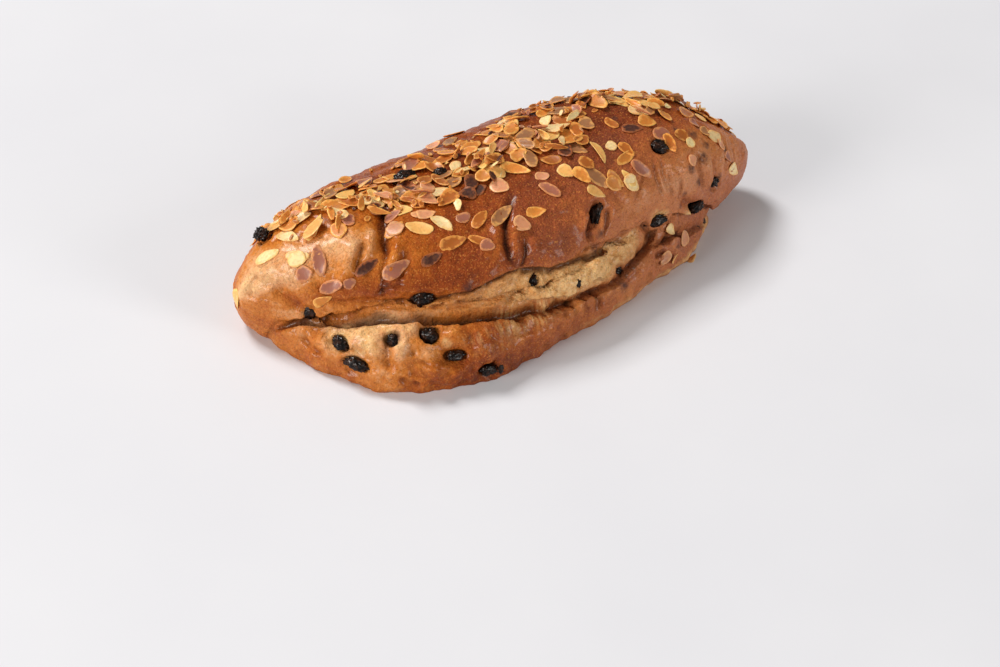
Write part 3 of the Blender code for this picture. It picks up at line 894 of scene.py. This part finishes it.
def crust_finish():
    """Baked crust: browner with toast and painted shade, speckled with painted glints, rosier on the right,
    and with painted shade in the creases.
    """
    made = Finish("baked_crust", Metallic=0.0, Specular_IOR_Level=0.06, Coat_Weight=0.27, Coat_Roughness=0.20,
                  Subsurface_Weight=0.05, Subsurface_Scale=0.004)
    blotched = made.reckon("ADD", made.look("toast"), made.uneven(9, 3, -0.08, 0.08))
    brown = made.reckon("ADD", blotched, made.uneven(2.2, 3, -0.07, 0.07))
    colour = made.shades(brown, *CRUST_SHADES)
    colour = made.blend(made.reckon("MULTIPLY", made.look("rosiness"), ROSY_SHARE), colour, ROSY_COLOUR)
    crumb = made.shades(made.specks(3.2, 4), *CRUMB_SHADES)
    strands = made.span(made.specks(1.7, 2, STRAND_STRETCH), 0.40, 0.58)
    bare = made.reckon("MAXIMUM", made.look("paleness_and_light"), made.reckon("MULTIPLY", made.look("torn"), strands))
    colour = made.blend(bare, colour, crumb)
    # Small blisters, painted lighter partly as painted glints.
    blister_glints = made.span(made.specks(1.0, 2), 0.58, 0.68, 0.0, 0.42)
    colour = made.blend(blister_glints, colour, BLISTER_GLINT_COLOUR)
    pores = made.span(made.specks(1.4, 2), 0.30, 0.42, 0.35, 0.0)
    colour = made.blend(pores, colour, PORE_COLOUR)
    cloudy = made.span(made.specks(3, 3), 0.35, 0.6, 0.3, 0.85)
    colour = made.blend(made.reckon("MULTIPLY", made.look("smudge"), cloudy), colour, SMUDGE_COLOUR)
    # Painted shade in the creases.
    colour = made.blend(made.reckon("MULTIPLY", made.look("crease"), CREASE_SHADE_SHARE), colour, CREASE_SHADE_COLOUR)
    made.cover(colour, made.uneven(4, 3, 0.36, 0.58))
    bumps = made.reckon("MULTIPLY", made.specks(2.8, 2), 1.4)
    made.relief(made.reckon("ADD", made.specks(1.1, 3), bumps), 1.0)
    return made.material


# Each point carries these looks: the one for the creases is painted shade, and the browning and the paleness
# hold painted light and shade as well.
loaf_looks = {
    "toast": toast, "paleness_and_light": paleness_and_light, "rosiness": rosiness, "crease": painted_crease_shade, "smudge": smudge,
    "torn": torn,
}
loaf_skin = new_piece("loaf_crust", loaf_mesh(baked, loaf_looks), crust_finish())
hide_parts("loaf")
crust_tree = sheet_tree(baked)


# Raisins: dried grapes kneaded into the dough, so that the outer ones stick out of the crust in hollows of
# their own. They are near black, deeply wrinkled, and shine where the oven heat drew out their syrup.
RAISIN_FOLDS = 0.40
RAISIN_CREASES = 0.18
FOLD_SCALE = (0.8, 2.1, 2.1)
CREASE_SCALE = (2.4, 4.2, 4.2)
RAISIN_FULLEST = 1.06
RAISIN_SWELL = 1.12
RAISIN_FINENESS = 4
RAISIN_SHADES = ((0.46, (0.003, 0.0014, 0.0012)), (0.74, (0.058, 0.020, 0.009)))


def raisin_points(half, seed, fineness):
    """A wrinkled raisin round the origin: its points in millimetres and its faces."""
    shape = bmesh.new()
    bmesh.ops.create_icosphere(shape, subdivisions=fineness, radius=1.0)
    shift = Vector((seed * 1.7, seed * 2.9, seed * 0.7))
    points = []
    for vert in shape.verts:
        ball = vert.co.copy()
        folds = abs(noise.noise(Vector(c * s for c, s in zip(ball, FOLD_SCALE)) + shift))
        creases = abs(noise.noise(Vector(c * s for c, s in zip(ball, CREASE_SCALE)) - shift))
        size = 1.0 - RAISIN_FOLDS * (1 - 2.2 * folds) * 0.5 - RAISIN_CREASES * (1 - 2.5 * creases)
        points.append(Vector(c * h for c, h in zip(ball * min(size, RAISIN_FULLEST), half)))
    faces = [[v.index for v in face.verts] for face in shape.faces]
    shape.free()
    return points, faces


def fruit_mesh(name, points, faces):
    """A mesh of one raisin or more, with nothing below the table."""
    mesh = bpy.data.meshes.new(name)
    mesh.from_pydata([Vector((p.x, p.y, max(p.z, 0.0))) * MM for p in points], [], faces)
    mesh.shade_smooth()
    return mesh


def raisin_finish():
    """Black-brown wrinkled skin with a syrupy shine."""
    made = Finish("raisin_skin", Metallic=0.0, Specular_IOR_Level=0.08, Coat_Weight=0.40, Coat_Roughness=0.12)
    made.cover(made.shades(made.specks(2.6, 3), *RAISIN_SHADES), made.uneven(1.5, 2, 0.28, 0.55))
    made.relief(made.specks(1.9, 2), 0.9)
    return made.material


raisin_skin = raisin_finish()
for number, (name, (middle, axes, half)) in enumerate(zip(RAISIN_NODES, raisin_poses)):
    points, faces = raisin_points(half * RAISIN_SWELL, number + 1, RAISIN_FINENESS)
    turn = Matrix(axes.tolist()).transposed()
    points = [turn @ p + Vector(middle) for p in points]
    fruit = new_piece(name + "_fruit", fruit_mesh(name + "_fruit", points, faces), raisin_skin)
    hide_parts(name)


# Small raisins and broken ones: the same dried grapes, kneaded in so deep that no more than the top shows.
# The pixel of each and its half length, how wide and high it is for its length, and how far it is sunk in.
SMALL_RAISINS = (
    (502, 368, 4.0), (579, 284, 2.8), (437, 168, 3.6), (704, 221, 3.8), (708, 217, 3.0), (698, 227, 2.8),
)
SMALL_WIDTH = 0.72
SMALL_HEIGHT = 0.6
SMALL_SINK = 0.3
SMALL_SEED = 50
small_points, small_faces = [], []
for number, (across, down, size) in enumerate(SMALL_RAISINS):
    spot, normal = seen(crust_tree, across, down)
    if spot is None:
        continue
    half = (size, size * SMALL_WIDTH, size * SMALL_HEIGHT)
    points, faces = raisin_points(half, SMALL_SEED + number, RAISIN_FINENESS - 1)
    turn = normal.to_track_quat("Z", "X").to_matrix()
    start = len(small_points)
    small_points += [turn @ p + spot - normal * size * SMALL_SINK for p in points]
    small_faces += [[start + i for i in face] for face in faces]
new_piece("raisins_small", fruit_mesh("raisins_small", small_points, small_faces), raisin_skin)


# Flaked almonds: blanched almonds cut into slices about a millimetre thick, strewn on the risen loaf and
# toasted with it. Each is egg-shaped and a little cupped, and its rim is painted paler than its middle, as
# painted light shining through the thin rim. They overlap.
ALMOND_NODES = sorted(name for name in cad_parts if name.startswith("almond_"))
FLAKE_THICKNESS = 0.62
FLAKE_RINGS = 5
FLAKE_SPOKES = 24
CRUMB_RING = 0.6
EDGE_RINGS = ((0.955, 0.93), (1.0, 0.55), (0.965, 0.1), (0.6, 0.0))
FLAKE_SINK = 0.45
HIGHEST = 80.0

# A flake's outline: the mean slimness of its tip and how much that varies, its breadth, and the lobes of its
# rim as their size and how many there are. Where it is broken the edge is jagged.
TIP_SLIMNESS = (0.20, 0.09)
EGG_BREADTH = 1.18
LOBES = ((0.05, 2), (0.04, 3), (0.025, 5), (0.02, 9))
JAGS = (0.06, 11)
LENGTHWISE_CUP = 0.7
CURL = 0.35
TWIST = 0.5
LEAN_LIFT = 0.42
THICKNESS_VARIES = 0.2
SHADE_VARIES = 0.14
BRIGHTEST = 0.95

# What a flake rests on is felt at these shares of its length and width, from this far above its place to this
# far below. It bends a little to what is felt, and rests nearly on the highest of it.
FELT_LENGTHWISE = (-0.45, -0.22, 0, 0.22, 0.45)
FELT_CROSSWISE = (-0.4, 0, 0.4)
FELT_FROM = 9.0
FELT_DOWN_TO = -4.0
FELT_BESIDE = 12
FELT_NOTHING = 99.0
FEWEST_FELT = 6
BED_BENDS = (-0.018, 0.012)
RESTING_SHARE = 0.9

# The toasted looks, each as the colour of the rim, painted paler as light shining through it, and of the
# middle.
TOASTED_AND_RIM_LIT = {
    "cream": ((0.92, 0.55, 0.20), (0.94, 0.68, 0.34)),
    "butter": ((0.95, 0.56, 0.18), (0.90, 0.46, 0.13)),
    "gold": ((0.90, 0.43, 0.10), (0.64, 0.22, 0.033)),
    "amber": ((0.82, 0.34, 0.07), (0.42, 0.115, 0.014)),
    "grey": ((0.70, 0.33, 0.10), (0.34, 0.15, 0.062)),
    "plum": ((0.64, 0.26, 0.10), (0.34, 0.12, 0.075)),
    "rosy": ((0.84, 0.42, 0.18), (0.66, 0.28, 0.14)),
    "dark": ((0.34, 0.10, 0.03), (0.055, 0.015, 0.010)),
    "skin": ((0.86, 0.50, 0.20), (0.62, 0.26, 0.08)),
}
NODE_LOOKS = (
    "cream", "cream", "butter", "cream", "plum", "gold", "plum", "dark",
    "plum", "amber", "butter", "cream", "rosy", "cream", "rosy", "dark",
    "amber", "grey", "gold", "plum", "amber", "grey", "cream", "butter",
    "amber", "grey", "gold", "butter", "gold", "butter", "plum", "cream",
)


class Flakes:
    """Almond flakes that are laid on the loaf one after another, each over what lies there already."""

    def __init__(self):
        self.laid = []

    def height(self, start, down):
        """How far below a point the crust or another flake lies."""
        _, _, _, best = crust_tree.ray_cast(start, down)
        best = FELT_NOTHING if best is None else best
        for centre, reach, tree in self.laid:
            if (centre - start).length < reach + FELT_BESIDE:
                far = tree.ray_cast(start, down)[3]
                if far is not None:
                    best = min(best, far)
        return best

    def bed(self, point, normal, long_way, wide_way, length, width):
        """The curved bed under a flake: its slopes, its bends, and how high it rests at the middle."""
        rows = []
        for l in FELT_LENGTHWISE:
            for w in FELT_CROSSWISE:
                spot = point + long_way * (l * length) + wide_way * (w * width) + normal * FELT_FROM
                found = FELT_FROM - self.height(spot, -normal)
                if found > FELT_DOWN_TO:
                    rows.append((l * length, w * width, found))
        if len(rows) < FEWEST_FELT:
            return np.array([0, 0, 0, 0, max([r[2] for r in rows], default=0)])
        lengthwise, crosswise, found = np.array(rows).T
        fit = np.column_stack([lengthwise, crosswise, lengthwise**2, crosswise**2, np.ones(len(rows))])
        bed, *_ = np.linalg.lstsq(fit, found, rcond=None)
        bed[2:4] = np.clip(bed[2:4], *BED_BENDS)
        rest = np.sort(found - fit[:, :4] @ bed[:4])
        bed[4] = rest[int(len(rest) * RESTING_SHARE)]
        return bed

    def lay(self, point, normal, long_way, length, width, look, seed, tilt=0.0, cup=0.5, broken=0.0,
            spokes=FLAKE_SPOKES):
        """Cuts one flake, breaks off a share of it, and lays it down or leans it up by an angle."""
        draw = random.Random(seed)
        wide_way = normal.cross(long_way).normalized()
        long_way = wide_way.cross(normal).normalized()
        bed = self.bed(point, normal, long_way, wide_way, length, width)
        lean = math.radians(tilt)
        point = point + normal * (bed[4] + abs(math.sin(lean)) * width * LEAN_LIFT - FLAKE_SINK)
        bed[:4] *= math.cos(lean)
        up_way = normal * math.cos(lean) - wide_way * math.sin(lean)
        wide_way = wide_way * math.cos(lean) + normal * math.sin(lean)
        (threes, fives, twisted, thicker, lighter, slimmer, twos, nines, jag, curled) = (
            draw.uniform(-1, 1) for _ in range(10))
        tip = TIP_SLIMNESS[0] + TIP_SLIMNESS[1] * slimmer
        lobes = [(size, count, 6 * turn) for (size, count), turn in zip(LOBES, (twos, threes, fives, nines))]
        cut_angle = draw.uniform(0, 2 * math.pi)
        cut = 1 - broken

        def outline(angle):
            narrow = (1 - tip * (1 + math.cos(angle))) * EGG_BREADTH
            uneven = 1
            for size, count, turn in lobes:
                uneven += size * math.sin(count * angle + turn)
            l, w = math.cos(angle) * uneven, math.sin(angle) * narrow * uneven
            past = l * math.cos(cut_angle) + w * math.sin(cut_angle)
            jagged = cut * (1 + JAGS[0] * math.sin(JAGS[1] * angle + 6 * jag))
            if broken and past > jagged:
                l, w = l * jagged / past, w * jagged / past
            return l * length / 2, w * width / 2

        verts, faces, rims = [], [], []
        twist = TWIST * twisted / width

        def add(l, w, up, rim):
            lengthwise, crosswise = 2 * l / length, 2 * w / width
            rise = bed[0] * l + bed[1] * w + bed[2] * l * l + bed[3] * w * w + twist * l * w
            rise += cup * (lengthwise**2 * LENGTHWISE_CUP + crosswise**2) + CURL * curled * lengthwise**3
            verts.append(point + long_way * l + wide_way * w + up_way * (rise + up))
            rims.append(rim)

        thick = FLAKE_THICKNESS * (1 + THICKNESS_VARIES * thicker)
        inner = [k / FLAKE_RINGS for k in range(1, FLAKE_RINGS)] if spokes == FLAKE_SPOKES else [CRUMB_RING]
        levels = [(share, thick) for share in inner] + [(share, thick * part) for share, part in EDGE_RINGS]
        add(0, 0, thick, 0)
        for share, up in levels:
            for spoke in range(spokes):
                l, w = outline(2 * math.pi * spoke / spokes)
                add(l * share, w * share, up, share)
        add(0, 0, 0, 0)
        over = max(0.0, max(v.z for v in verts) - HIGHEST)
        point.z -= over
        for vert in verts:
            vert.z = max(vert.z - over, 0.0)
        for spoke in range(spokes):
            after = (spoke + 1) % spokes
            faces.append((0, 1 + spoke, 1 + after))
            for ring in range(len(levels) - 1):
                start = 1 + ring * spokes
                faces.append((start + spoke, start + spokes + spoke, start + spokes + after, start + after))
            start = 1 + (len(levels) - 1) * spokes
            faces.append((len(verts) - 1, start + after, start + spoke))
        self.laid.append((point.copy(), length / 2, BVHTree.FromPolygons(verts, faces)))
        shade = 1 + SHADE_VARIES * lighter
        # The rim colour holds painted light shining through the thin rim.
        rim_colour, middle_colour = ([min(c * shade, BRIGHTEST) for c in colour] for colour in TOASTED_AND_RIM_LIT[look])
        return verts, faces, rims, rim_colour, middle_colour


def flake_mesh(name, flakes):
    """One mesh of these flakes, each point with how near the rim it is and its flake's two colours."""
    verts, faces, rims, rim_colours, middle_colours = [], [], [], [], []
    for points, polygons, near_rim, rim_colour, middle_colour in flakes:
        start = len(verts)
        verts += [p * MM for p in points]
        faces += [[start + i for i in polygon] for polygon in polygons]
        rims += near_rim
        rim_colours += [(*rim_colour, 1)] * len(points)
        middle_colours += [(*middle_colour, 1)] * len(points)
    mesh = bpy.data.meshes.new(name)
    mesh.from_pydata(verts, [], faces)
    mesh.attributes.new("rim", "FLOAT", "POINT").data.foreach_set("value", rims)
    for attribute, colours in (("rim_colour", rim_colours), ("middle_colour", middle_colours)):
        carried = mesh.attributes.new(attribute, "FLOAT_COLOR", "POINT")
        carried.data.foreach_set("color", np.ravel(colours))
    return facing_out(mesh)


STREAK_COLOUR = (0.30, 0.11, 0.03, 1)


def almond_finish():
    """Toasted almond: each flake's middle colour runs into its rim colour, which is painted paler as light
    shining through the thin rim, with fine streaks over both.
    """
    made = Finish("toasted_almond", Metallic=0.0, Specular_IOR_Level=0.3, Subsurface_Weight=0.12,
                  Subsurface_Scale=0.002, Coat_Weight=0.22, Coat_Roughness=0.22)
    edge = made.reckon("ADD", made.look("rim"), made.uneven(2.6, 3, -0.26, 0.26))
    colour = made.blend(
        made.span(edge, 0.62, 0.93), made.look("middle_colour", "Color"), made.look("rim_colour", "Color"))
    streaks = made.span(made.specks(1.8, 3), 0.45, 0.75, 0.0, 0.30)
    made.cover(made.blend(streaks, colour, STREAK_COLOUR), made.uneven(2.4, 2, 0.36, 0.55))
    made.relief(made.specks(1.1, 3), 0.12)
    return made.material


FIRST_SEED = 100
almond_look = almond_finish()
strewn = Flakes()
for number, (name, look) in enumerate(zip(ALMOND_NODES, NODE_LOOKS)):
    middle, axes, half = node_pose(name)
    points = np.array([v.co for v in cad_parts[name].data.vertices]) / MM - middle
    lengthwise, crosswise = points @ axes[0], np.abs(points @ axes[1])
    tip = 1 if crosswise[lengthwise > 0].mean() < crosswise[lengthwise < 0].mean() else -1
    flake = strewn.lay(Vector(middle), Vector(axes[2]), Vector(axes[0] * tip), 2 * half[0], 2 * half[1],
                       look, FIRST_SEED + number)
    piece = new_piece(name + "_flake", flake_mesh(name + "_flake", [flake]), almond_look)
    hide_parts(name)

# Further flakes that show in the photograph: the pixels of the two ends of each, its width, how far it leans
# up, how much of it is broken off, and its look.
FLAKES_SEEN = (
    (288, 260, 307, 258, 9, 0, 0.1, "cream"), (296, 273, 313, 275, 9, 0, 0, "plum"),
    (337, 221, 340, 238, 9, 0, 0, "gold"), (345, 224, 352, 213, 8, 10, 0, "plum"),
    (318, 206, 355, 202, 8, 12, 0, "gold"), (316, 209, 330, 194, 5, 50, 0.2, "butter"),
    (306, 238, 322, 216, 9, -25, 0.2, "butter"), (314, 304, 331, 297, 6, 0, 0.3, "gold"),
    (346, 287, 354, 279, 6, 0, 0, "plum"), (367, 201, 386, 199, 8, 8, 0, "cream"),
    (369, 206, 391, 205, 8, 0, 0, "dark"), (393, 209, 412, 206, 9, 0, 0.3, "butter"),
    (386, 228, 403, 224, 12, 0, 0.25, "rosy"), (415, 213, 434, 213, 9, 0, 0.2, "rosy"),
    (400, 189, 423, 180, 11, 0, 0, "rosy"), (376, 190, 388, 180, 9, 0, 0.3, "gold"),
    (456, 199, 460, 211, 5, 30, 0.3, "cream"), (457, 221, 470, 214, 8, 0, 0, "plum"),
    (440, 247, 466, 238, 9, 0, 0, "amber"), (411, 200, 425, 204, 6, 0, 0.2, "amber"),
    (470, 192, 486, 182, 9, 0, 0, "dark"), (487, 162, 500, 176, 10, 0, 0, "cream"),
    (448, 168, 461, 163, 6, 20, 0.3, "cream"), (464, 164, 477, 150, 5, 55, 0.1, "gold"),
    (485, 166, 505, 174, 10, 0, 0.1, "butter"), (492, 180, 508, 189, 11, 0, 0, "rosy"),
    (500, 165, 530, 170, 6, 35, 0, "gold"), (506, 131, 517, 140, 8, 0, 0.2, "butter"),
    (503, 142, 517, 152, 8, 10, 0.2, "gold"), (521, 129, 540, 129, 8, 0, 0, "grey"),
    (529, 140, 541, 154, 8, -15, 0.2, "amber"), (541, 158, 562, 160, 8, 0, 0.1, "amber"),
    (498, 114, 512, 126, 9, 0, 0.1, "cream"), (536, 114, 552, 107, 6, 20, 0.2, "gold"),
    (556, 129, 577, 133, 8, 0, 0, "gold"), (568, 105, 580, 108, 9, 0, 0, "amber"),
    (583, 93, 612, 111, 9, 30, 0, "gold"), (608, 97, 623, 102, 9, 0, 0, "butter"),
    (628, 108, 646, 110, 10, 0, 0.15, "cream"), (645, 108, 655, 110, 8, 10, 0.3, "grey"),
    (638, 118, 656, 122, 8, 10, 0, "gold"), (661, 108, 671, 120, 9, -15, 0.1, "gold"),
    (656, 138, 667, 128, 9, 0, 0, "plum"), (676, 130, 688, 140, 9, 0, 0, "amber"),
    (686, 142, 694, 144, 7, 0, 0, "cream"), (688, 162, 696, 158, 7, 0, 0.2, "rosy"),
    (706, 133, 719, 142, 7, 15, 0.1, "cream"), (697, 111, 708, 120, 8, 0, 0.2, "butter"),
    (593, 141, 604, 166, 7, -30, 0, "butter"), (606, 144, 618, 148, 7, 0, 0.2, "cream"),
    (619, 143, 633, 156, 8, 0, 0, "amber"), (578, 160, 596, 168, 9, 0, 0.3, "amber"),
    (558, 168, 573, 177, 9, 12, 0.3, "butter"), (572, 170, 590, 184, 7, 25, 0, "gold"),
    (606, 180, 621, 188, 9, 0, 0, "gold"), (624, 177, 640, 189, 9, 0, 0.3, "cream"),
    (512, 224, 531, 226, 10, 0, 0, "rosy"), (480, 244, 494, 249, 8, 0, 0, "plum"),
    (669, 225, 676, 233, 6, 0, 0, "cream"), (736, 190, 747, 183, 8, 0, 0.2, "butter"),
    (237, 308, 235, 288, 7, 0, 0.1, "butter"), (622, 128, 642, 127, 9, 0, 0.1, "dark"),
    (664, 134, 674, 152, 6, 25, 0.2, "amber"), (716, 140, 722, 150, 6, 0, 0.2, "rosy"),
    (687, 230, 684, 247, 7, 0, 0.0, "rosy"), (669, 251, 662, 265, 6, 15, 0.2, "rosy"),
    (648, 104, 660, 109, 6, 20, 0.2, "butter"), (690, 118, 700, 126, 7, 0, 0.2, "plum"),
    (606, 116, 618, 126, 7, 0, 0.3, "amber"), (700, 128, 708, 136, 6, 0, 0.2, "grey"),
    (724, 152, 730, 162, 5, 0, 0.2, "plum"), (536, 178, 549, 174, 7, 0, 0.3, "rosy"),
)


SEEN_SEED = 400
SEEN_LENGTHS = (7.0, 19.0)


def lay_seen(rows, first_seed):
    """Lays the flakes that show at these pixels."""
    done = []
    for number, (left, top, right, bottom, width, tilt, broken, look) in enumerate(rows):
        point, normal = seen(smooth_tree, (left + right) / 2, (top + bottom) / 2)
        if point is None:
            continue
        ends = []
        for across, down in ((left, top), (right, bottom)):
            ray = line_of_sight(across, down)
            away = (point - Vector(VIEWPOINT)).dot(normal) / ray.dot(normal)
            ends.append(Vector(VIEWPOINT) + ray * away)
        long_way = ends[1] - ends[0]
        length = min(max(long_way.length, SEEN_LENGTHS[0]), SEEN_LENGTHS[1])
        done.append(strewn.lay(point, normal, long_way.normalized(), length, width, look, first_seed + number,
                               tilt=tilt, broken=broken))
    return done


more_flakes = lay_seen(FLAKES_SEEN, SEEN_SEED)

# Flakes, leaning shards and crumbs strewn at random fill the crest and the back. For each kind: how many,
# the length and width, how far they may lean, how much may be broken off, how far apart they keep, and the
# points round each. On the front of the crest only a share of them stays, given at the stations.
STREWN_ANGLES = (82, 156)
STREWN_X = (-136, 150)
STREWN_SHARE = (0.35, 0.5, 0.9, 1.0, 0.45, 0.30, 0.25)
STREWN_MODE = 112
STREWN_LOOKS = (
    "cream", "butter", "butter", "gold", "gold", "gold", "amber", "amber", "amber", "rosy", "grey", "plum",
    "dark",
)
STREWN_KINDS = (
    (128, (9, 16), (7.5, 10.5), 14, 0.35, 6.2, FLAKE_SPOKES),
    (62, (8, 14), (3.0, 5.5), 65, 0.3, 3.5, FLAKE_SPOKES),
    (150, (2.0, 5.0), (1.5, 3.5), 30, 0.4, 1.5, 8),
)
STREWN_CUPS = (-0.3, 1.1)
STREWN_SEED = 5
SEEDS = 10**6
TRIES = 12
SHORTEST_WAY = 0.2

# Where the photograph shows bare crust, as the pixel of each spot's middle and its radius, none is strewn.
BARE = (
    (612, 120, 13), (438, 192, 7), (300, 200, 8), (656, 116, 8), (690, 120, 8), (266, 240, 10),
    (314, 228, 11),
)
bare_spots = [(seen(smooth_tree, across, down)[0], radius) for across, down, radius in BARE]
strew = random.Random(STREWN_SEED)


def strew_kind(count, lengths, widths, lean, broken, apart, spokes):
    """Strews this many pieces of one kind over the crest and the back."""
    done = []
    for _ in range(count * TRIES):
        if len(done) == count:
            break
        x = strew.uniform(*STREWN_X)
        angle = math.radians(strew.triangular(*STREWN_ANGLES, STREWN_MODE))
        ray = Vector((0, -math.cos(angle), math.sin(angle)))
        point, normal, _, _ = smooth_tree.ray_cast(Vector((x, *core(x))), ray)
        in_front = angle < math.radians(STREWN_MODE)
        if point is None or in_front and strew.random() > along(x, STREWN_SHARE):
            continue
        if min((point - centre).length for centre, _, _ in strewn.laid) < apart:
            continue
        if any((point - spot).length < radius for spot, radius in bare_spots):
            continue
        normal = normal if normal.dot(ray) > 0 else -normal
        way = Vector([strew.uniform(-1, 1) for _ in range(3)]).cross(normal)
        if way.length < SHORTEST_WAY:
            continue
        length, width = strew.uniform(*lengths), strew.uniform(*widths)
        look, seed = strew.choice(STREWN_LOOKS), strew.randrange(SEEDS)
        tilt, cup = strew.uniform(-lean, lean), strew.uniform(*STREWN_CUPS)
        lost = strew.choice((0, strew.uniform(0, broken)))
        done.append(strewn.lay(point, normal, way.normalized(), length, width, look, seed, tilt, cup, lost,
                               spokes))
    return done


for kind in STREWN_KINDS:
    more_flakes += strew_kind(*kind)
new_piece("flakes_strewn", flake_mesh("flakes_strewn", more_flakes), almond_look)


# Peeled skin: thin pale scales of baked dough, a few millimetres wide, that came loose along the lip's foot
# and stand off from it. Each as the pixels of its two ends, its width, how far it leans, how much is broken
# off, and its look.
PEELED = (
    (684, 261, 692, 250, 4, 45, 0.2, "skin"),
    (668, 262, 674, 254, 5, 30, 0.3, "skin"),
)
PEELED_SEED = 709


def peeled_finish():
    """Dry scales of skin, paler at their thin edges."""
    made = Finish("peeled_skin", Metallic=0.0, Specular_IOR_Level=0.1)
    edge = made.reckon("ADD", made.look("rim"), made.uneven(2.2, 3, -0.3, 0.3))
    colour = made.blend(
        made.span(edge, 0.4, 0.9), made.look("middle_colour", "Color"), made.look("rim_colour", "Color"))
    made.cover(colour, made.uneven(2.0, 2, 0.5, 0.7))
    return made.material


scales = flake_mesh("peeled_skin", lay_seen(PEELED, PEELED_SEED))
new_piece("peeled_skin", scales, peeled_finish())


# The table the loaf stands on and the light it is seen in. Neither is part of the loaf.
# A plain pale surface, a large soft light from behind on the left, and weaker ones from the left and from the
# right front. Here lengths are metres.
FLOOR_HALF = 6.0
FLOOR_SHADES = ((0.3, (0.735, 0.752, 0.812)), (0.7, (0.765, 0.782, 0.838)))
floor_mesh = bpy.data.meshes.new("table_top")
corners = [(x * FLOOR_HALF, y * FLOOR_HALF, 0) for x, y in ((-1, -1), (1, -1), (1, 1), (-1, 1))]
floor_mesh.from_pydata(corners, [], [(0, 1, 2, 3)])
floor = bpy.data.objects.new("table_top", floor_mesh)
bpy.context.scene.collection.objects.link(floor)


def table_finish():
    """Pale, dull, very slightly clouded."""
    made = Finish("pale_table", Metallic=0.0)
    made.cover(made.shades(made.specks(180, 4), *FLOOR_SHADES), made.uneven(60, 2, 0.55, 0.65))
    return made.material


floor_mesh.materials.append(table_finish())


def soft_light(name, towards, distance, size, power, colour):
    """A square light that shines at the loaf from one direction."""
    lamp = bpy.data.lights.new(name, "AREA")
    lamp.size = size
    lamp.energy = power
    lamp.color = colour
    held = bpy.data.objects.new(name, lamp)
    away = Vector(towards).normalized()
    held.location = away * distance
    held.rotation_euler = away.to_track_quat("Z", "Y").to_euler()
    bpy.context.scene.collection.objects.link(held)


# Each light's name, the way it comes from, its distance, size, power in watts and colour.
LIGHTS = (
    ("window", (-0.25, 0.58, 0.78), 8.0, 2.3, 485, (1.0, 0.97, 0.93)),
    ("left_fill", (-0.96, -0.16, 0.36), 6.0, 2.2, 240, (1.0, 0.96, 0.91)),
    ("right_fill", (0.55, -0.75, 0.36), 6.0, 2.2, 125, (1.0, 0.96, 0.91)),
)
ROOM_COLOUR = (1.0, 0.95, 0.88, 1)
ROOM_STRENGTH = 0.20
for light in LIGHTS:
    soft_light(*light)
world = bpy.data.worlds.new("room")
world.use_nodes = True
room_light = world.node_tree.nodes["Background"]
room_light.inputs["Color"].default_value = ROOM_COLOUR
room_light.inputs["Strength"].default_value = ROOM_STRENGTH
bpy.context.scene.world = world
bpy.context.scene.view_settings.view_transform = "Standard"
